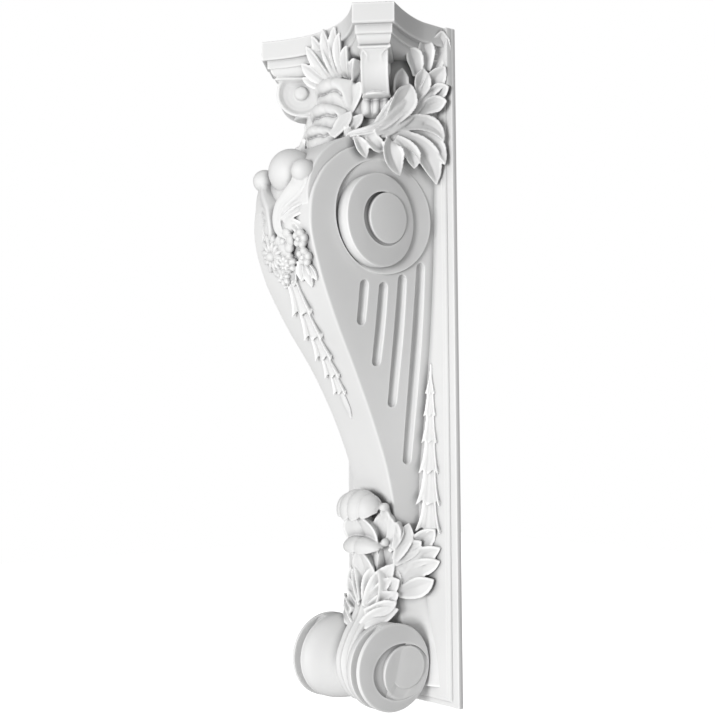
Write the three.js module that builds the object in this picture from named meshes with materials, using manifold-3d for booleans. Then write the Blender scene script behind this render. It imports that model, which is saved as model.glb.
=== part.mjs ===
// A carved wall corbel: a long console on a moulded back plate, with a scroll at its top and its foot,
// fluted sides, and a small acanthus capital under a shelf-like abacus with hollow sides.
// Millimetres. +Z is up, the wall is the plane Y = 0, and the corbel comes out of it towards -Y.
// Heights are measured up from the bottom of the plate and depths out from the wall. The finished group is
// lowered by half the plate's height, so that the origin is at the middle of the back face.

import * as THREE from 'three';
import { mergeVertices } from 'three/addons/utils/BufferGeometryUtils.js';
import Module from 'manifold-3d';

const wasm = await Module();
wasm.setup();

// Driving dimensions
const PLATE = { width: 220, height: 900, thickness: 7.5 };
const FIELD = { margin: 11, bottomMargin: 7, rise: 5, bevel: 6 };
const BLOCK = { height: 81, depth: 16.2 };
const ABACUS = {
  depth: 175,
  frontHalf: 99,
  chamfer: 38.5,
  frontHollow: 38,
  sideHalf: 104,
  sideRun: 52,
  sideSwell: 4,
  fascia: 27,
  fillet: 12,
  cove: 12,
  filletSet: 6,
  coveSet: 17,
};
const BELL = {
  foot: 700,
  backHalf: 99,
  frontHalf: 64,
  depth: 112,
  flare: 26,
  cheek: 18,
  step: 12,
  chamfer: 20,
};
const CORNER_SCROLL = { radius: 35, width: 36, setBack: 55, drop: 21.5, eye: 10.5, channel: 5 };
const SIDE_SCROLL = { depth: 111, height: 627, across: 57.5, up: 62, proud: 12 };
const TURN = { depth: 98, height: 634, radius: 76, seat: 20, lean: 11 };
const EYE = { depth: 103, height: 626, across: 30, up: 34, proud: 4, channel: 6.5 };
const FLUTE = { radius: 6.6, sink: 5.6, pitch: 30.5, lastDepth: 33.5, top: 578 };
const FLUTE_LENGTHS = [268, 175, 110, 59];
const FLUTE_DROPS = [0, 18, 30, 29];
const ROLL = { half: 68.5, depth: 79.5, height: 54.5, across: 60, up: 54.5, bevel: 2.5, shoulder: 18 };
const WAIST = { half: 16, depth: 64, height: 47.5, across: 43, up: 43 };
const ROLL_SLOT = { depth: 68, height: 47.6, across: 43, up: 34, sunk: 5 };
const ROLL_EYE = { depth: 59, height: 52, across: 29, up: 28, proud: 0.8 };
const STEM = { half: 15, thickness: 26 };
const FLOWER_PROUD = 6;
const HUSK_PROUD = 2;
const FACE_HUSK = { count: 5, top: 540, pitch: 32, half: 19, overlap: 6, bud: 34 };
const SIDE_HUSK = { count: 6, top: 427, bottom: 232, out: 9, spread: 12, half: 9.5, rise: 8, overlap: 5 };

// The console's core and the capital's start this far from the wall, inside the plate
const CORE_BACK = 2;
// The carving is drawn 900 units high, and grows with the plate: this is one unit
const UNIT = PLATE.height / 900;

// The console's stations, from its foot up: height, half-width at the plate, half-width of its face and
// depth, all in units
const STATIONS = [
  [24, 87, 50, 40],
  [60, 82, 46, 42],
  [100, 68, 44, 44],
  [140, 57, 41, 47],
  [190, 48, 38.5, 49],
  [250, 43, 37.5, 52],
  [300, 45.5, 38, 64],
  [360, 54, 39.5, 88],
  [430, 63, 44.5, 124.5],
  [500, 70, 54.5, 168],
  [560, 74.5, 61, 198],
  [620, 77.5, 62, 213],
  [665, 79, 62, 205],
  [700, 80, 62, 179],
  [722, 80, 62, 146],
  [738, 80, 62, 96],
].map((row) => row.map((size) => size * UNIT));
const EDGE_BEVEL = 3;
const ROUND_SIDES = 18;
// How far one form sits inside another that it would otherwise only touch
const SEAM = 0.5;

const plateHalf = PLATE.width / 2;
const abacusBottom = PLATE.height - ABACUS.fascia - ABACUS.fillet - ABACUS.cove;
const DIAGONAL = Math.SQRT1_2;

// Solids from point rings: every ring has as many points, and both ends are closed around their middle
function loft(rings) {
  const count = rings[0].length;
  const positions = rings.flat(2);
  const middle = (ring) => [0, 1, 2].map((axis) => ring.reduce((sum, p) => sum + p[axis], 0) / count);
  const first = positions.length / 3;
  positions.push(...middle(rings[0]), ...middle(rings.at(-1)));
  const index = [];
  for (let row = 0; row + 1 < rings.length; row += 1) {
    for (let i = 0; i < count; i += 1) {
      const a = row * count + i;
      const b = row * count + ((i + 1) % count);
      index.push(a, b, b + count, a, b + count, a + count);
    }
  }
  const last = (rings.length - 1) * count;
  for (let i = 0; i < count; i += 1) {
    const next = (i + 1) % count;
    index.push(first, next, i);
    index.push(first + 1, last + i, last + next);
  }
  const geometry = new THREE.BufferGeometry();
  geometry.setAttribute('position', new THREE.Float32BufferAttribute(positions, 3));
  geometry.setIndex(index);
  return solidOf(geometry);
}

function solidOf(geometry) {
  geometry.deleteAttribute('normal');
  geometry.deleteAttribute('uv');
  const merged = mergeVertices(geometry, 1e-4);
  const vertProperties = new Float32Array(merged.attributes.position.array);
  const triVerts = new Uint32Array(merged.index.array);
  const solid = new wasm.Manifold(new wasm.Mesh({ numProp: 3, vertProperties, triVerts }));
  if (solid.volume() > 0) return solid;
  for (let i = 0; i < triVerts.length; i += 3) {
    [triVerts[i], triVerts[i + 1]] = [triVerts[i + 1], triVerts[i]];
  }
  return new wasm.Manifold(new wasm.Mesh({ numProp: 3, vertProperties, triVerts }));
}

function join(solids) {
  return solids.reduce((whole, solid) => whole.add(solid));
}

function onBothSides(solid) {
  return [solid, solid.mirror([1, 0, 0])];
}

function between(rows, height, column) {
  const above = rows.findIndex((row) => row[0] >= height);
  if (above <= 0) return rows[above === 0 ? 0 : rows.length - 1][column];
  const [low, high] = [rows[above - 1], rows[above]];
  const share = (height - low[0]) / (high[0] - low[0]);
  return low[column] + share * (high[column] - low[column]);
}

// Half-width of the console's side at a height and a depth, and the depth of its face
function sideAt(height, depth) {
  const back = between(STATIONS, height, 1);
  const front = between(STATIONS, height, 2);
  const face = between(STATIONS, height, 3);
  const share = (depth - PLATE.thickness) / (face - PLATE.thickness);
  return back + (front - back) * share;
}

function faceAt(height) {
  return between(STATIONS, height, 3);
}

function backPlate() {
  const slab = new THREE.BoxGeometry(PLATE.width, PLATE.thickness, PLATE.height);
  slab.translate(0, -PLATE.thickness / 2, PLATE.height / 2);
  const block = new THREE.BoxGeometry(PLATE.width, BLOCK.depth, BLOCK.height);
  block.translate(0, -BLOCK.depth / 2, PLATE.height - BLOCK.height / 2);
  const half = plateHalf - FIELD.margin;
  const top = PLATE.height - BLOCK.height / 2;
  const fieldRing = (depth, inset) => [
    [-half + inset, -depth, FIELD.bottomMargin + inset],
    [half - inset, -depth, FIELD.bottomMargin + inset],
    [half - inset, -depth, top],
    [-half + inset, -depth, top],
  ];
  const step = PLATE.thickness + FIELD.rise;
  const field = loft([
    fieldRing(PLATE.thickness / 2, 0),
    fieldRing(PLATE.thickness + FIELD.rise * 0.3, 0),
    fieldRing(step - FIELD.rise * 0.2, FIELD.bevel * 0.4),
    fieldRing(step, FIELD.bevel),
  ]);
  return join([solidOf(slab), solidOf(block), field]);
}

// The abacus outline, anticlockwise from above, set in by some distance
function abacusOutline(inset) {
  const { depth, frontHalf, chamfer, frontHollow, sideHalf, sideRun, sideSwell } = ABACUS;
  const horn = new THREE.Vector2(frontHalf + chamfer, -(depth - chamfer));
  const side = new THREE.QuadraticBezierCurve(
    new THREE.Vector2(sideHalf - inset, -sideRun),
    new THREE.Vector2(sideHalf + sideSwell - inset, -(depth - chamfer) * 0.62),
    new THREE.Vector2(horn.x - inset * 1.2, horn.y + inset * 0.5),
  );
  const front = new THREE.QuadraticBezierCurve(
    new THREE.Vector2(frontHalf - inset * 0.5, -depth + inset * 1.2),
    new THREE.Vector2(0, -depth + inset + frontHollow * 2),
    new THREE.Vector2(-frontHalf + inset * 0.5, -depth + inset * 1.2),
  );
  const right = [new THREE.Vector2(sideHalf - inset, 0), ...side.getPoints(7)];
  const left = right.map((p) => new THREE.Vector2(-p.x, p.y)).reverse();
  return [...right, ...front.getPoints(12), ...left];
}

function abacus() {
  const top = PLATE.height;
  const fasciaFoot = top - ABACUS.fascia;
  const filletFoot = fasciaFoot - ABACUS.fillet;
  const levels = [
    [top, 0],
    [fasciaFoot, 0],
    [fasciaFoot - ABACUS.fillet * 0.05, ABACUS.filletSet],
    [filletFoot, ABACUS.filletSet],
    [filletFoot - ABACUS.cove * 0.45, ABACUS.coveSet * 0.65],
    [abacusBottom, ABACUS.coveSet * 1.35],
  ];
  return loft(levels.map(([z, inset]) => abacusOutline(inset).map((p) => [p.x, p.y, z])));
}

// The capital's core, a bell that widens towards the plate and towards the abacus
function bell() {
  const { foot, cheek, step, chamfer } = BELL;
  const height = abacusBottom + ABACUS.cove - foot;
  const ring = (share) => {
    const widen = BELL.flare * (share - 1);
    const back = BELL.backHalf + widen;
    const front = BELL.frontHalf + widen * 0.4;
    const depth = BELL.depth + widen * 0.4;
    const z = foot + height * share;
    const half = [
      [back, CORE_BACK],
      [back, cheek],
      [back - step, depth / 2],
      [front, depth - chamfer],
      [front - chamfer, depth],
    ];
    return [
      ...half.map(([x, y]) => [x, -y, z]),
      ...half.map(([x, y]) => [-x, -y, z]).reverse(),
    ];
  };
  return loft([0, 0.3, 0.6, 0.85, 1].map(ring));
}

// The console between its stations, four corners to a side, as smooth curves up its height
function consoleBody() {
  const perStation = 2;
  const curve = (column) => new THREE.CatmullRomCurve3(
    STATIONS.map((row) => new THREE.Vector3(row[0], row[column], 0)),
    false,
    'centripetal',
  );
  const steps = (STATIONS.length - 1) * perStation;
  const [backs, fronts, depths] = [1, 2, 3].map((column) => curve(column));
  const rings = Array.from({ length: steps + 1 }, (_, i) => {
    const back = backs.getPoint(i / steps);
    const z = back.x;
    const front = fronts.getPoint(i / steps).y;
    const depth = depths.getPoint(i / steps).y;
    const half = [
      [back.y, CORE_BACK],
      [back.y, PLATE.thickness + CORE_BACK],
      [front, depth - EDGE_BEVEL],
      [front - EDGE_BEVEL, depth],
    ];
    return [
      ...half.map(([x, y]) => [x, -y, z]),
      ...half.map(([x, y]) => [-x, -y, z]).reverse(),
    ];
  });
  return loft(rings);
}

// A drum with its axis along X, from one X to another; either end can lean, out at the back
function drum(from, to, { depth, height, across, up, inner = 0, outer = 0 }, sides = ROUND_SIDES) {
  const ring = (x, slope) => Array.from({ length: sides }, (_, i) => {
    const angle = (i / sides) * Math.PI * 2;
    return [x + slope * Math.cos(angle), Math.cos(angle) * across - depth, height + Math.sin(angle) * up];
  });
  return loft([ring(from, inner), ring(to, outer)]);
}

// The scroll in the console's side: a sunk round, shallower towards the plate, with a boss and an eye in it
function sideScroll(solid) {
  const seat = sideAt(SIDE_SCROLL.height, SIDE_SCROLL.depth);
  const turn = (radius) => ({ ...TURN, across: radius, up: radius });
  const hollow = drum(seat, seat + PLATE.width, { ...turn(TURN.radius), inner: TURN.lean });
  const ramp = drum(seat - TURN.seat, seat - SEAM, { ...turn(TURN.radius - SEAM), outer: TURN.lean });
  const face = seat + SIDE_SCROLL.proud;
  const boss = drum(seat - TURN.seat * 1.1, face, SIDE_SCROLL);
  const across = EYE.across + EYE.channel;
  const groove = { ...EYE, depth: EYE.depth + EYE.channel * 0.3, across, up: EYE.up + EYE.channel * 0.2 };
  const slot = drum(face - EYE.channel, face + EYE.proud * 3, groove);
  const eye = drum(face - EYE.channel * 2, face + EYE.proud, EYE);
  const scroll = join([ramp, boss.subtract(slot), eye]);
  const hollowed = onBothSides(hollow).reduce((whole, cut) => whole.subtract(cut), solid);
  return join([hollowed, ...onBothSides(scroll)]);
}

// Round-ended flutes cut in both sides, the one nearest the plate the longest
function flutes() {
  return FLUTE_LENGTHS.map((length, i) => {
    const depth = FLUTE.lastDepth + FLUTE.pitch * i;
    const drop = FLUTE_DROPS[i];
    const top = FLUTE.top - drop - FLUTE.radius;
    const bottom = FLUTE.top - drop - length + FLUTE.radius;
    const out = FLUTE.radius - FLUTE.sink;
    const high = new THREE.Vector3(sideAt(top, depth) + out, -depth, top);
    const low = new THREE.Vector3(sideAt(bottom, depth) + out, -depth, bottom);
    const capsule = new THREE.CapsuleGeometry(FLUTE.radius, high.distanceTo(low), 2, 8);
    const along = high.clone().sub(low).normalize();
    capsule.applyQuaternion(new THREE.Quaternion().setFromUnitVectors(new THREE.Vector3(0, 1, 0), along));
    const centre = high.clone().add(low).multiplyScalar(0.5);
    capsule.translate(centre.x, centre.y, centre.z);
    return solidOf(capsule);
  }).flatMap(onBothSides);
}

// The foot scroll: two discs joined by a waisted roll
function footRoll() {
  const sides = ROUND_SIDES;
  const section = (x) => {
    const slope = ROLL.half - WAIST.half - ROLL.shoulder;
    const run = THREE.MathUtils.clamp((Math.abs(x) - WAIST.half) / slope, 0, 1);
    const share = Math.sin((run * Math.PI) / 2) ** 1.3;
    const end = Math.max(0, Math.abs(x) - (ROLL.half - ROLL.bevel));
    const mix = (key) => WAIST[key] + (ROLL[key] - WAIST[key]) * share;
    const across = mix('across') - end;
    const up = mix('up') - end;
    return Array.from({ length: sides }, (_, i) => {
      const angle = (i / sides) * Math.PI * 2;
      return [x, Math.cos(angle) * across - mix('depth'), mix('height') + Math.sin(angle) * up];
    });
  };
  const half = [WAIST.half, ROLL.half * 0.49, ROLL.half * 0.74, ROLL.half - ROLL.bevel, ROLL.half];
  const roll = loft([...half.map((x) => -x).reverse(), ...half].map(section));
  const floor = ROLL.half - ROLL_SLOT.sunk;
  const slot = drum(floor, ROLL.half + ROLL_SLOT.sunk, ROLL_SLOT);
  const eye = drum(floor - ROLL_SLOT.sunk, ROLL.half + ROLL_EYE.proud, ROLL_EYE);
  const cut = onBothSides(slot).reduce((whole, tool) => whole.subtract(tool), roll);
  return join([cut, ...onBothSides(eye)]);
}

// A bar along a path in the middle plane, with a raised rib on each side of its centre line
function footStem() {
  const path = new THREE.CatmullRomCurve3([
    [60, 214], [66, 178], [71, 140], [80, 112], [98, 86], [109, 58], [102, 28], [80, 6], [58, 4],
  ].map(([depth, height]) => new THREE.Vector3(0, -depth * UNIT, height * UNIT)));
  const steps = 13;
  const rings = Array.from({ length: steps + 1 }, (_, i) => {
    const t = i / steps;
    const p = path.getPointAt(t);
    const along = path.getTangentAt(t);
    const out = new THREE.Vector3(0, along.z, -along.y);
    const half = STEM.half * (1.5 - 0.5 * Math.min(1, t * 1.8));
    const section = [[-1, 0], [-0.45, 4 * UNIT], [0, UNIT], [0.45, 4 * UNIT], [1, 0]];
    const top = section.map(([x, rise]) => [x * half, p.y + out.y * rise, p.z + out.z * rise]);
    const back = [p.y - out.y * STEM.thickness, p.z - out.z * STEM.thickness];
    const under = [0.8, -0.8].map((x) => [x * half, ...back]);
    return [...top, ...under];
  });
  return loft(rings);
}

// A leaf's lobe: a pointed blade along a bent line, ridged down its middle, with a thick back. Its line is
// in place, and its half-width, rise and back are in units.
const BLADE_WIDTHS = [[0, 0.5], [0.4, 0.95], [0.76, 0.85], [1, 0.08]];
function blade([base, mid, tip], half, { rise = 4, back = 12, facing = [1, 0, 0] } = {}) {
  const [a, b, c] = [base, mid, tip].map((p) => new THREE.Vector3(...p));
  const control = b.clone().multiplyScalar(2).sub(a.clone().add(c).multiplyScalar(0.5));
  const line = new THREE.QuadraticBezierCurve3(a, control, c);
  const face = new THREE.Vector3(...facing).normalize();
  const rings = BLADE_WIDTHS.map(([t, width]) => {
    const p = line.getPoint(t);
    const along = line.getTangent(t);
    const side = along.clone().cross(face).normalize();
    const out = side.clone().cross(along).normalize();
    const at = (x, h) => (
      p.clone().addScaledVector(side, x * half * width * UNIT).addScaledVector(out, h * UNIT).toArray()
    );
    return [at(-1, 0), at(0, rise * Math.min(1, width + 0.2)), at(1, 0), at(0, -back)];
  });
  return loft(rings);
}

// A place on the corbel, from units across, out from the wall and up
function inPlace([x, depth, height]) {
  return [x * UNIT, -depth * UNIT, height * UNIT];
}

function ball([x, y, z], [rx, ry, rz], [around, down] = [7, 4]) {
  const sphere = new THREE.SphereGeometry(1, around, down);
  sphere.scale(rx, ry, rz);
  sphere.translate(x, y, z);
  return solidOf(sphere);
}

// A leaf's rolled tip, its axis along X: a shell of some number of lobes, thinner towards its two ends. Its
// place is a length, and its own sizes are in units.
function rolledTip({ depth, height, half, thick, tall, lobes }) {
  const sides = 8;
  const sections = Array.from({ length: lobes * 2 + 1 }, (_, i) => i / lobes - 1);
  return loft(sections.map((share, i) => {
    const size = Math.sqrt(1 - 0.88 * share * share) * (i % 2 ? 1 : 0.88);
    return Array.from({ length: sides }, (_, k) => {
      const angle = (k / sides) * Math.PI * 2;
      const out = Math.cos(angle) * thick * size * UNIT;
      const up = Math.sin(angle) * tall * size * UNIT;
      return [half * share * UNIT, out - depth, height + up];
    });
  }));
}

// Lobes of the capital's side leaf: base, middle and tip, each as across, depth and height, then the
// lobe's half-width. The heights count down from the abacus's underside.
const SIDE_LEAF = [
  [[60, 134, 112], [88, 106, 106], [96, 55, 56], 8],
  [[94, 58, 62], [103, 36, 34], [107, 24, 12], 13],
  [[94, 54, 70], [102, 34, 60], [108, 22, 54], 11],
  [[88, 104, 96], [96, 84, 66], [97, 72, 38], 12],
  [[95, 36, 18], [103, 26, -12], [107, 26, -40], 12],
  [[95, 44, 18], [101, 47, -8], [101, 50, -30], 9],
  [[92, 56, 26], [99, 66, 6], [98, 80, -10], 10],
  [[88, 92, 110], [98, 56, 126], [90, 24, 162], 12],
  [[84, 104, 112], [93, 100, 134], [80, 86, 158], 12],
  [[64, 142, 112], [74, 137, 124], [68, 128, 138], 9],
];
const SIDE_PALM = [[80, 116, 112], [96, 72, 78], [104, 28, 44], 34];

// Lobes of the capital's front leaf, right half, in the same way, and the one on the middle line
const FRONT_LEAF = [
  [[12, 126, 22], [20, 140, -10], [18, 146, -40], 10],
  [[18, 124, 20], [32, 132, -2], [36, 138, -26], 9],
];
const FRONT_MIDDLE = [[0, 124, 30], [0, 144, -6], [0, 150, -46], 9];

function capitalLeaves() {
  const z = (drop) => abacusBottom - drop * UNIT;
  const place = (p) => [p[0] * UNIT, -p[1] * UNIT, z(p[2])];
  const lobe = (form) => ([a, b, c, half]) => blade([a, b, c].map(place), half, form);
  const sideways = { facing: [1, -0.25, 0], back: 16 };
  const side = SIDE_LEAF.map(lobe(sideways));
  const palm = lobe({ ...sideways, rise: 2 })(SIDE_PALM);
  const front = FRONT_LEAF.map(lobe({ facing: [0.1, -1, 0], back: 20 }));
  const middle = lobe({ facing: [0, -1, 0], back: 20 })(FRONT_MIDDLE);
  const tiers = [
    { depth: 131, drop: 27, half: 37, thick: 11 },
    { depth: 144, drop: 63, half: 31, thick: 12 },
    { depth: 157, drop: 95, half: 25, thick: 10 },
  ].flatMap(({ depth, drop, half, thick }) => {
    const form = { half, thick, tall: thick * 1.15, lobes: 3 };
    const tip = rolledTip({ depth: depth * UNIT, height: z(drop), ...form });
    const apron = blade(
      [[0, depth - 52, drop - 4], [0, depth - 22, drop - 6], [0, depth + 2, drop + 4]].map(place),
      half * 0.95,
      { facing: [0, -0.3, 1], rise: 3, back: 26 },
    );
    return [tip, apron];
  });
  const stalk = ball(place([0, 150, 118]), inPlace([19, -17, 26]));
  return [...[...side, palm, ...front].flatMap(onBothSides), middle, ...tiers, stalk];
}

// The capital's two corner scrolls, each across its corner's diagonal, with three buds under it
function cornerScrolls() {
  const { radius, width, setBack, drop, eye, channel } = CORNER_SCROLL;
  const corner = ABACUS.chamfer / 2;
  const x = ABACUS.frontHalf + corner - setBack * DIAGONAL;
  const depth = ABACUS.depth - corner - setBack * DIAGONAL;
  const z = abacusBottom - drop;
  const turned = (solid) => solid.rotate([0, 0, 45]).translate([x, -depth, z]);
  const centred = (r, across = r) => ({ depth: 0, height: 0, across, up: r });
  const half = width / 2;
  const roll = drum(-half, half, { ...centred(radius) });
  const neck = new THREE.BoxGeometry(width, radius * 1.3, radius * 1.1);
  neck.translate(0, radius * 0.25, radius * 0.7);
  const slots = [-1, 1].map((end) => {
    const from = end > 0 ? half - channel : -half - channel;
    const ring = drum(from, from + channel * 2, centred(radius - eye * 0.76), 12);
    return ring.subtract(drum(from - channel, from + channel * 3, centred(eye), 8));
  });
  const body = join([roll, solidOf(neck)]);
  const scroll = slots.reduce((whole, slot) => whole.subtract(slot), body);
  const budSize = [width * 0.2, width * 0.33, width * 0.29];
  const budAt = [-radius * 0.23, -radius * 1.43];
  const buds = [-1, 0, 1].map((along) => ball([along * width * 0.35, ...budAt], budSize, [6, 4]));
  const root = new THREE.BoxGeometry(width * 0.8, radius * 1.6, radius * 0.63);
  root.translate(0, radius * 0.55, -radius * 1.34);
  return [scroll, ...buds, solidOf(root)].map(turned).flatMap(onBothSides);
}

// The swelling and the pair of curled leaves at the top of the console's face
function faceTop() {
  const swell = ball(inPlace([0, 197, 690]), inPlace([30, -25, 34]), [12, 7]);
  const facing = [0.35, -1, 0.2];
  const low = [[6, 214, 606], [14, 224, 626], [30, 222, 652]].map(inPlace);
  const high = [[22, 219, 640], [40, 216, 662], [43, 204, 692]].map(inPlace);
  const curls = [
    blade(low, 9, { facing, rise: 7, back: 20 }),
    blade(high, 13, { facing, rise: 8, back: 24 }),
    ball(inPlace([38, 203, 694]), inPlace([13, -14, 14])),
  ];
  return [swell, ...curls.flatMap(onBothSides)];
}

// Flowers on the console's face: across, height and radius in units, and petals
const FLOWERS = [
  [-24, 585, 21, 8],
  [14, 595, 15, 5],
  [40, 594, 11, 5],
  [42, 572, 12, 5],
  [-4, 566, 14, 6],
];
const FACE_LEAVES = [
  [[10, 560], [22, 542], [28, 526], 9],
  [[28, 566], [40, 546], [48, 530], 8],
  [[-16, 566], [-18, 548], [-12, 530], 9],
  [[-30, 572], [-40, 560], [-44, 546], 8],
];

function flowers() {
  const on = (x, z, out) => [x * UNIT, -(faceAt(z * UNIT) + out * UNIT), z * UNIT];
  const blooms = FLOWERS.map(([across, height, size, petals]) => {
    const [x, z, radius] = [across, height, size].map((length) => length * UNIT);
    const depth = faceAt(z);
    const ring = (reach, out, scallop) => Array.from({ length: petals * 2 }, (_, i) => {
      const angle = (i / petals) * Math.PI;
      const r = radius * reach * (i % 2 ? 1 - scallop : 1);
      return [x + Math.cos(angle) * r, -(depth + out), z + Math.sin(angle) * r];
    });
    const proud = FLOWER_PROUD;
    return loft([
      ring(0.8, -proud, 0.2), ring(1, proud * 0.5, 0.3), ring(0.5, proud, 0.1), ring(0.25, proud * 0.2, 0),
    ]);
  });
  const leaves = FACE_LEAVES.map(([a, b, c, half]) => blade(
    [on(...a, 3), on(...b, 5), on(...c, 2)],
    half,
    { facing: [0, -1, -0.3], rise: 3.5, back: 9 },
  ));
  return [...blooms, ...leaves];
}

// A bellflower: a flared cup with its mouth down the chain, half sunk in what it lies on
function husk(from, to, half, rise, facing) {
  const a = new THREE.Vector3(...from);
  const b = new THREE.Vector3(...to);
  const along = b.clone().sub(a).normalize();
  const face = new THREE.Vector3(...facing).normalize();
  const side = along.clone().cross(face).normalize();
  const out = side.clone().cross(along).normalize();
  const sides = 6;
  const rings = [[0, 0.5], [0.65, 0.8], [1, 1]].map(([t, size]) => {
    const centre = a.clone().lerp(b, t);
    return Array.from({ length: sides }, (_, i) => {
      const angle = (i / sides) * Math.PI * 2;
      const across = Math.cos(angle) * half * size;
      const up = Math.sin(angle) * rise * size;
      return centre.clone().addScaledVector(side, across).addScaledVector(out, up).toArray();
    });
  });
  return loft(rings);
}

// A chain of husks down the console's face, each shorter and narrower than the last, and a bud at its end
function faceHusks() {
  const { count, top, pitch, half, overlap, bud } = FACE_HUSK;
  const taper = 0.9;
  const on = (z) => [0, -(faceAt(z) + HUSK_PROUD), z];
  const heights = [top];
  for (let i = 0; i < count; i += 1) {
    heights.push(heights[i] - pitch * taper ** i);
  }
  const bells = Array.from({ length: count }, (_, i) => {
    const size = half * taper ** i;
    return husk(on(heights[i] + overlap), on(heights[i + 1]), size, size * 0.62, [0, -1, -0.4]);
  });
  const end = heights[count];
  const line = [end + overlap, end - bud * 0.4, end - bud].map(on);
  return [...bells, blade(line, 6, { facing: [0, -1, -0.4], rise: 5, back: 8 })];
}

// Chains of husks on the plate beside the console, and the plain strips that they stand on
function sideHusks() {
  const { count, top, bottom, out, spread, half, rise, overlap } = SIDE_HUSK;
  const step = (top - bottom) / count;
  const middle = (top + bottom) / 2;
  const depth = PLATE.thickness + FIELD.rise + HUSK_PROUD;
  const x = (z) => sideAt(z, PLATE.thickness) + out + spread * Math.max(0, (middle - z) / (middle - bottom));
  const at = (z) => [x(z), -depth, z];
  const bells = Array.from({ length: count }, (_, i) => {
    const grow = 0.55 + 0.45 * (i / (count - 1));
    const ends = [at(top - step * i + overlap), at(top - step * (i + 1))];
    return husk(...ends, half * grow, rise * grow, [0.4, -1, 0]);
  });
  return bells.flatMap(onBothSides);
}

// The acanthus over the foot: lobes in the same way as the capital's, but with heights from the foot up
const FOOT_SIDE = [
  [[42, 55, 180], [50, 45, 207], [46, 35, 230], 11],
  [[46, 48, 182], [60, 27, 204], [76, 19, 220], 12],
  [[46, 48, 176], [62, 27, 187], [82, 18, 198], 11],
  [[44, 54, 140], [58, 34, 148], [76, 22, 159], 11],
];
const FOOT_PALM = [[42, 52, 152], [54, 38, 180], [70, 22, 206], 24];
const FOOT_FRONT = [
  [[8, 72, 124], [26, 64, 152], [39, 50, 178], 12],
  [[8, 72, 118], [26, 62, 130], [42, 48, 140], 12],
  [[6, 80, 98], [27, 67, 109], [43, 50, 119], 11],
];

function footLeaves() {
  const lobe = (form) => ([a, b, c, half]) => blade([a, b, c].map(inPlace), half, form);
  const sideways = { facing: [1, -0.7, 0], back: 14 };
  const forwards = { facing: [0, -1, 0.1], rise: 5, back: 18 };
  const side = FOOT_SIDE.map(lobe(sideways));
  const palm = lobe({ ...sideways, rise: 3 })(FOOT_PALM);
  const front = FOOT_FRONT.map(lobe({ facing: [0.6, -1, 0], back: 20 }));
  const upper = lobe(forwards)([[0, 62, 186], [0, 72, 222], [0, 80, 250], 34]);
  const lower = lobe(forwards)([[0, 66, 150], [0, 70, 176], [0, 76, 202], 28]);
  const domes = [
    rolledTip({ depth: 73 * UNIT, height: 260 * UNIT, half: 48, thick: 18, tall: 20, lobes: 4 }),
    rolledTip({ depth: 72 * UNIT, height: 208 * UNIT, half: 38, thick: 14, tall: 13, lobes: 3 }),
  ];
  return [...[...side, ...front, palm].flatMap(onBothSides), upper, lower, ...domes];
}

function corbel() {
  const body = sideScroll(consoleBody());
  const fluted = flutes().reduce((whole, flute) => whole.subtract(flute), body);
  const whole = join([
    backPlate(),
    fluted,
    bell(),
    abacus(),
    footRoll(),
    footStem(),
    ...cornerScrolls(),
    ...capitalLeaves(),
    ...faceTop(),
    ...flowers(),
    ...faceHusks(),
    ...sideHusks(),
    ...footLeaves(),
  ]).translate([0, 0, -PLATE.height / 2]);
  const mesh = whole.getMesh();
  const geometry = new THREE.BufferGeometry();
  geometry.setAttribute('position', new THREE.BufferAttribute(mesh.vertProperties, 3));
  geometry.setIndex(new THREE.BufferAttribute(mesh.triVerts, 1));
  geometry.computeVertexNormals();
  return geometry;
}

const plaster = new THREE.MeshStandardMaterial({ color: 0xf1f0ee, roughness: 0.62, metalness: 0 });
const group = new THREE.Group();
const piece = new THREE.Mesh(corbel(), plaster);
piece.name = 'corbel';
group.add(piece);

export default group;
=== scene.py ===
# %% [markdown]
# A carved wall corbel in white plaster: a long console on a back plate, with a scroll at its top and one at
# its foot, fluted sides, and a small acanthus capital under a hollow-sided abacus.
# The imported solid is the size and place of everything, and this script gives it its carved surface.

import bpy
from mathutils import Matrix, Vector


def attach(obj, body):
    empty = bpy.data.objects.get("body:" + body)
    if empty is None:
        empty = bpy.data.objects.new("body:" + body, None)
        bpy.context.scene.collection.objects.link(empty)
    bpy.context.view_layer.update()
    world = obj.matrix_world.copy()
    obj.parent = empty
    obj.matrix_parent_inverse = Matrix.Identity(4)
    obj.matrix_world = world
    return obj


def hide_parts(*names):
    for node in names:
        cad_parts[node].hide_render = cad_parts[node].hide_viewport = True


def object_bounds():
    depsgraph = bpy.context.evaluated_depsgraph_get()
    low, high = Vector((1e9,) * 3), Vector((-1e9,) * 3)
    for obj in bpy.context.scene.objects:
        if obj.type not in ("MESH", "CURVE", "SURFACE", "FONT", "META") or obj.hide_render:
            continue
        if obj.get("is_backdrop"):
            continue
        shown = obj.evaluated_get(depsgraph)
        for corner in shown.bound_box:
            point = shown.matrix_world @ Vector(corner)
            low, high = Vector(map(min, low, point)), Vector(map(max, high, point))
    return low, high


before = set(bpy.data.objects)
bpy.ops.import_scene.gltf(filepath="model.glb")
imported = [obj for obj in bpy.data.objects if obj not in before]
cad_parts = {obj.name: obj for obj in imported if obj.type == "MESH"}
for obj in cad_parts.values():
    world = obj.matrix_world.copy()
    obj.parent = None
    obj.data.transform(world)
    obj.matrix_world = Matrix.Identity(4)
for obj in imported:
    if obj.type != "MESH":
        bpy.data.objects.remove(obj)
solid_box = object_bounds()
print("solid box", solid_box)

# %% Bring in the modules
import math

import bmesh
import bpy
import numpy as np
from mathutils import Matrix, Vector

# %% [markdown]
# All sizes are in millimetres: across the corbel, out from the wall, and up from the bottom of the plate.
# A point is turned into Blender's metres in one place, so that every piece lies in the solid's own frame.

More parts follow.
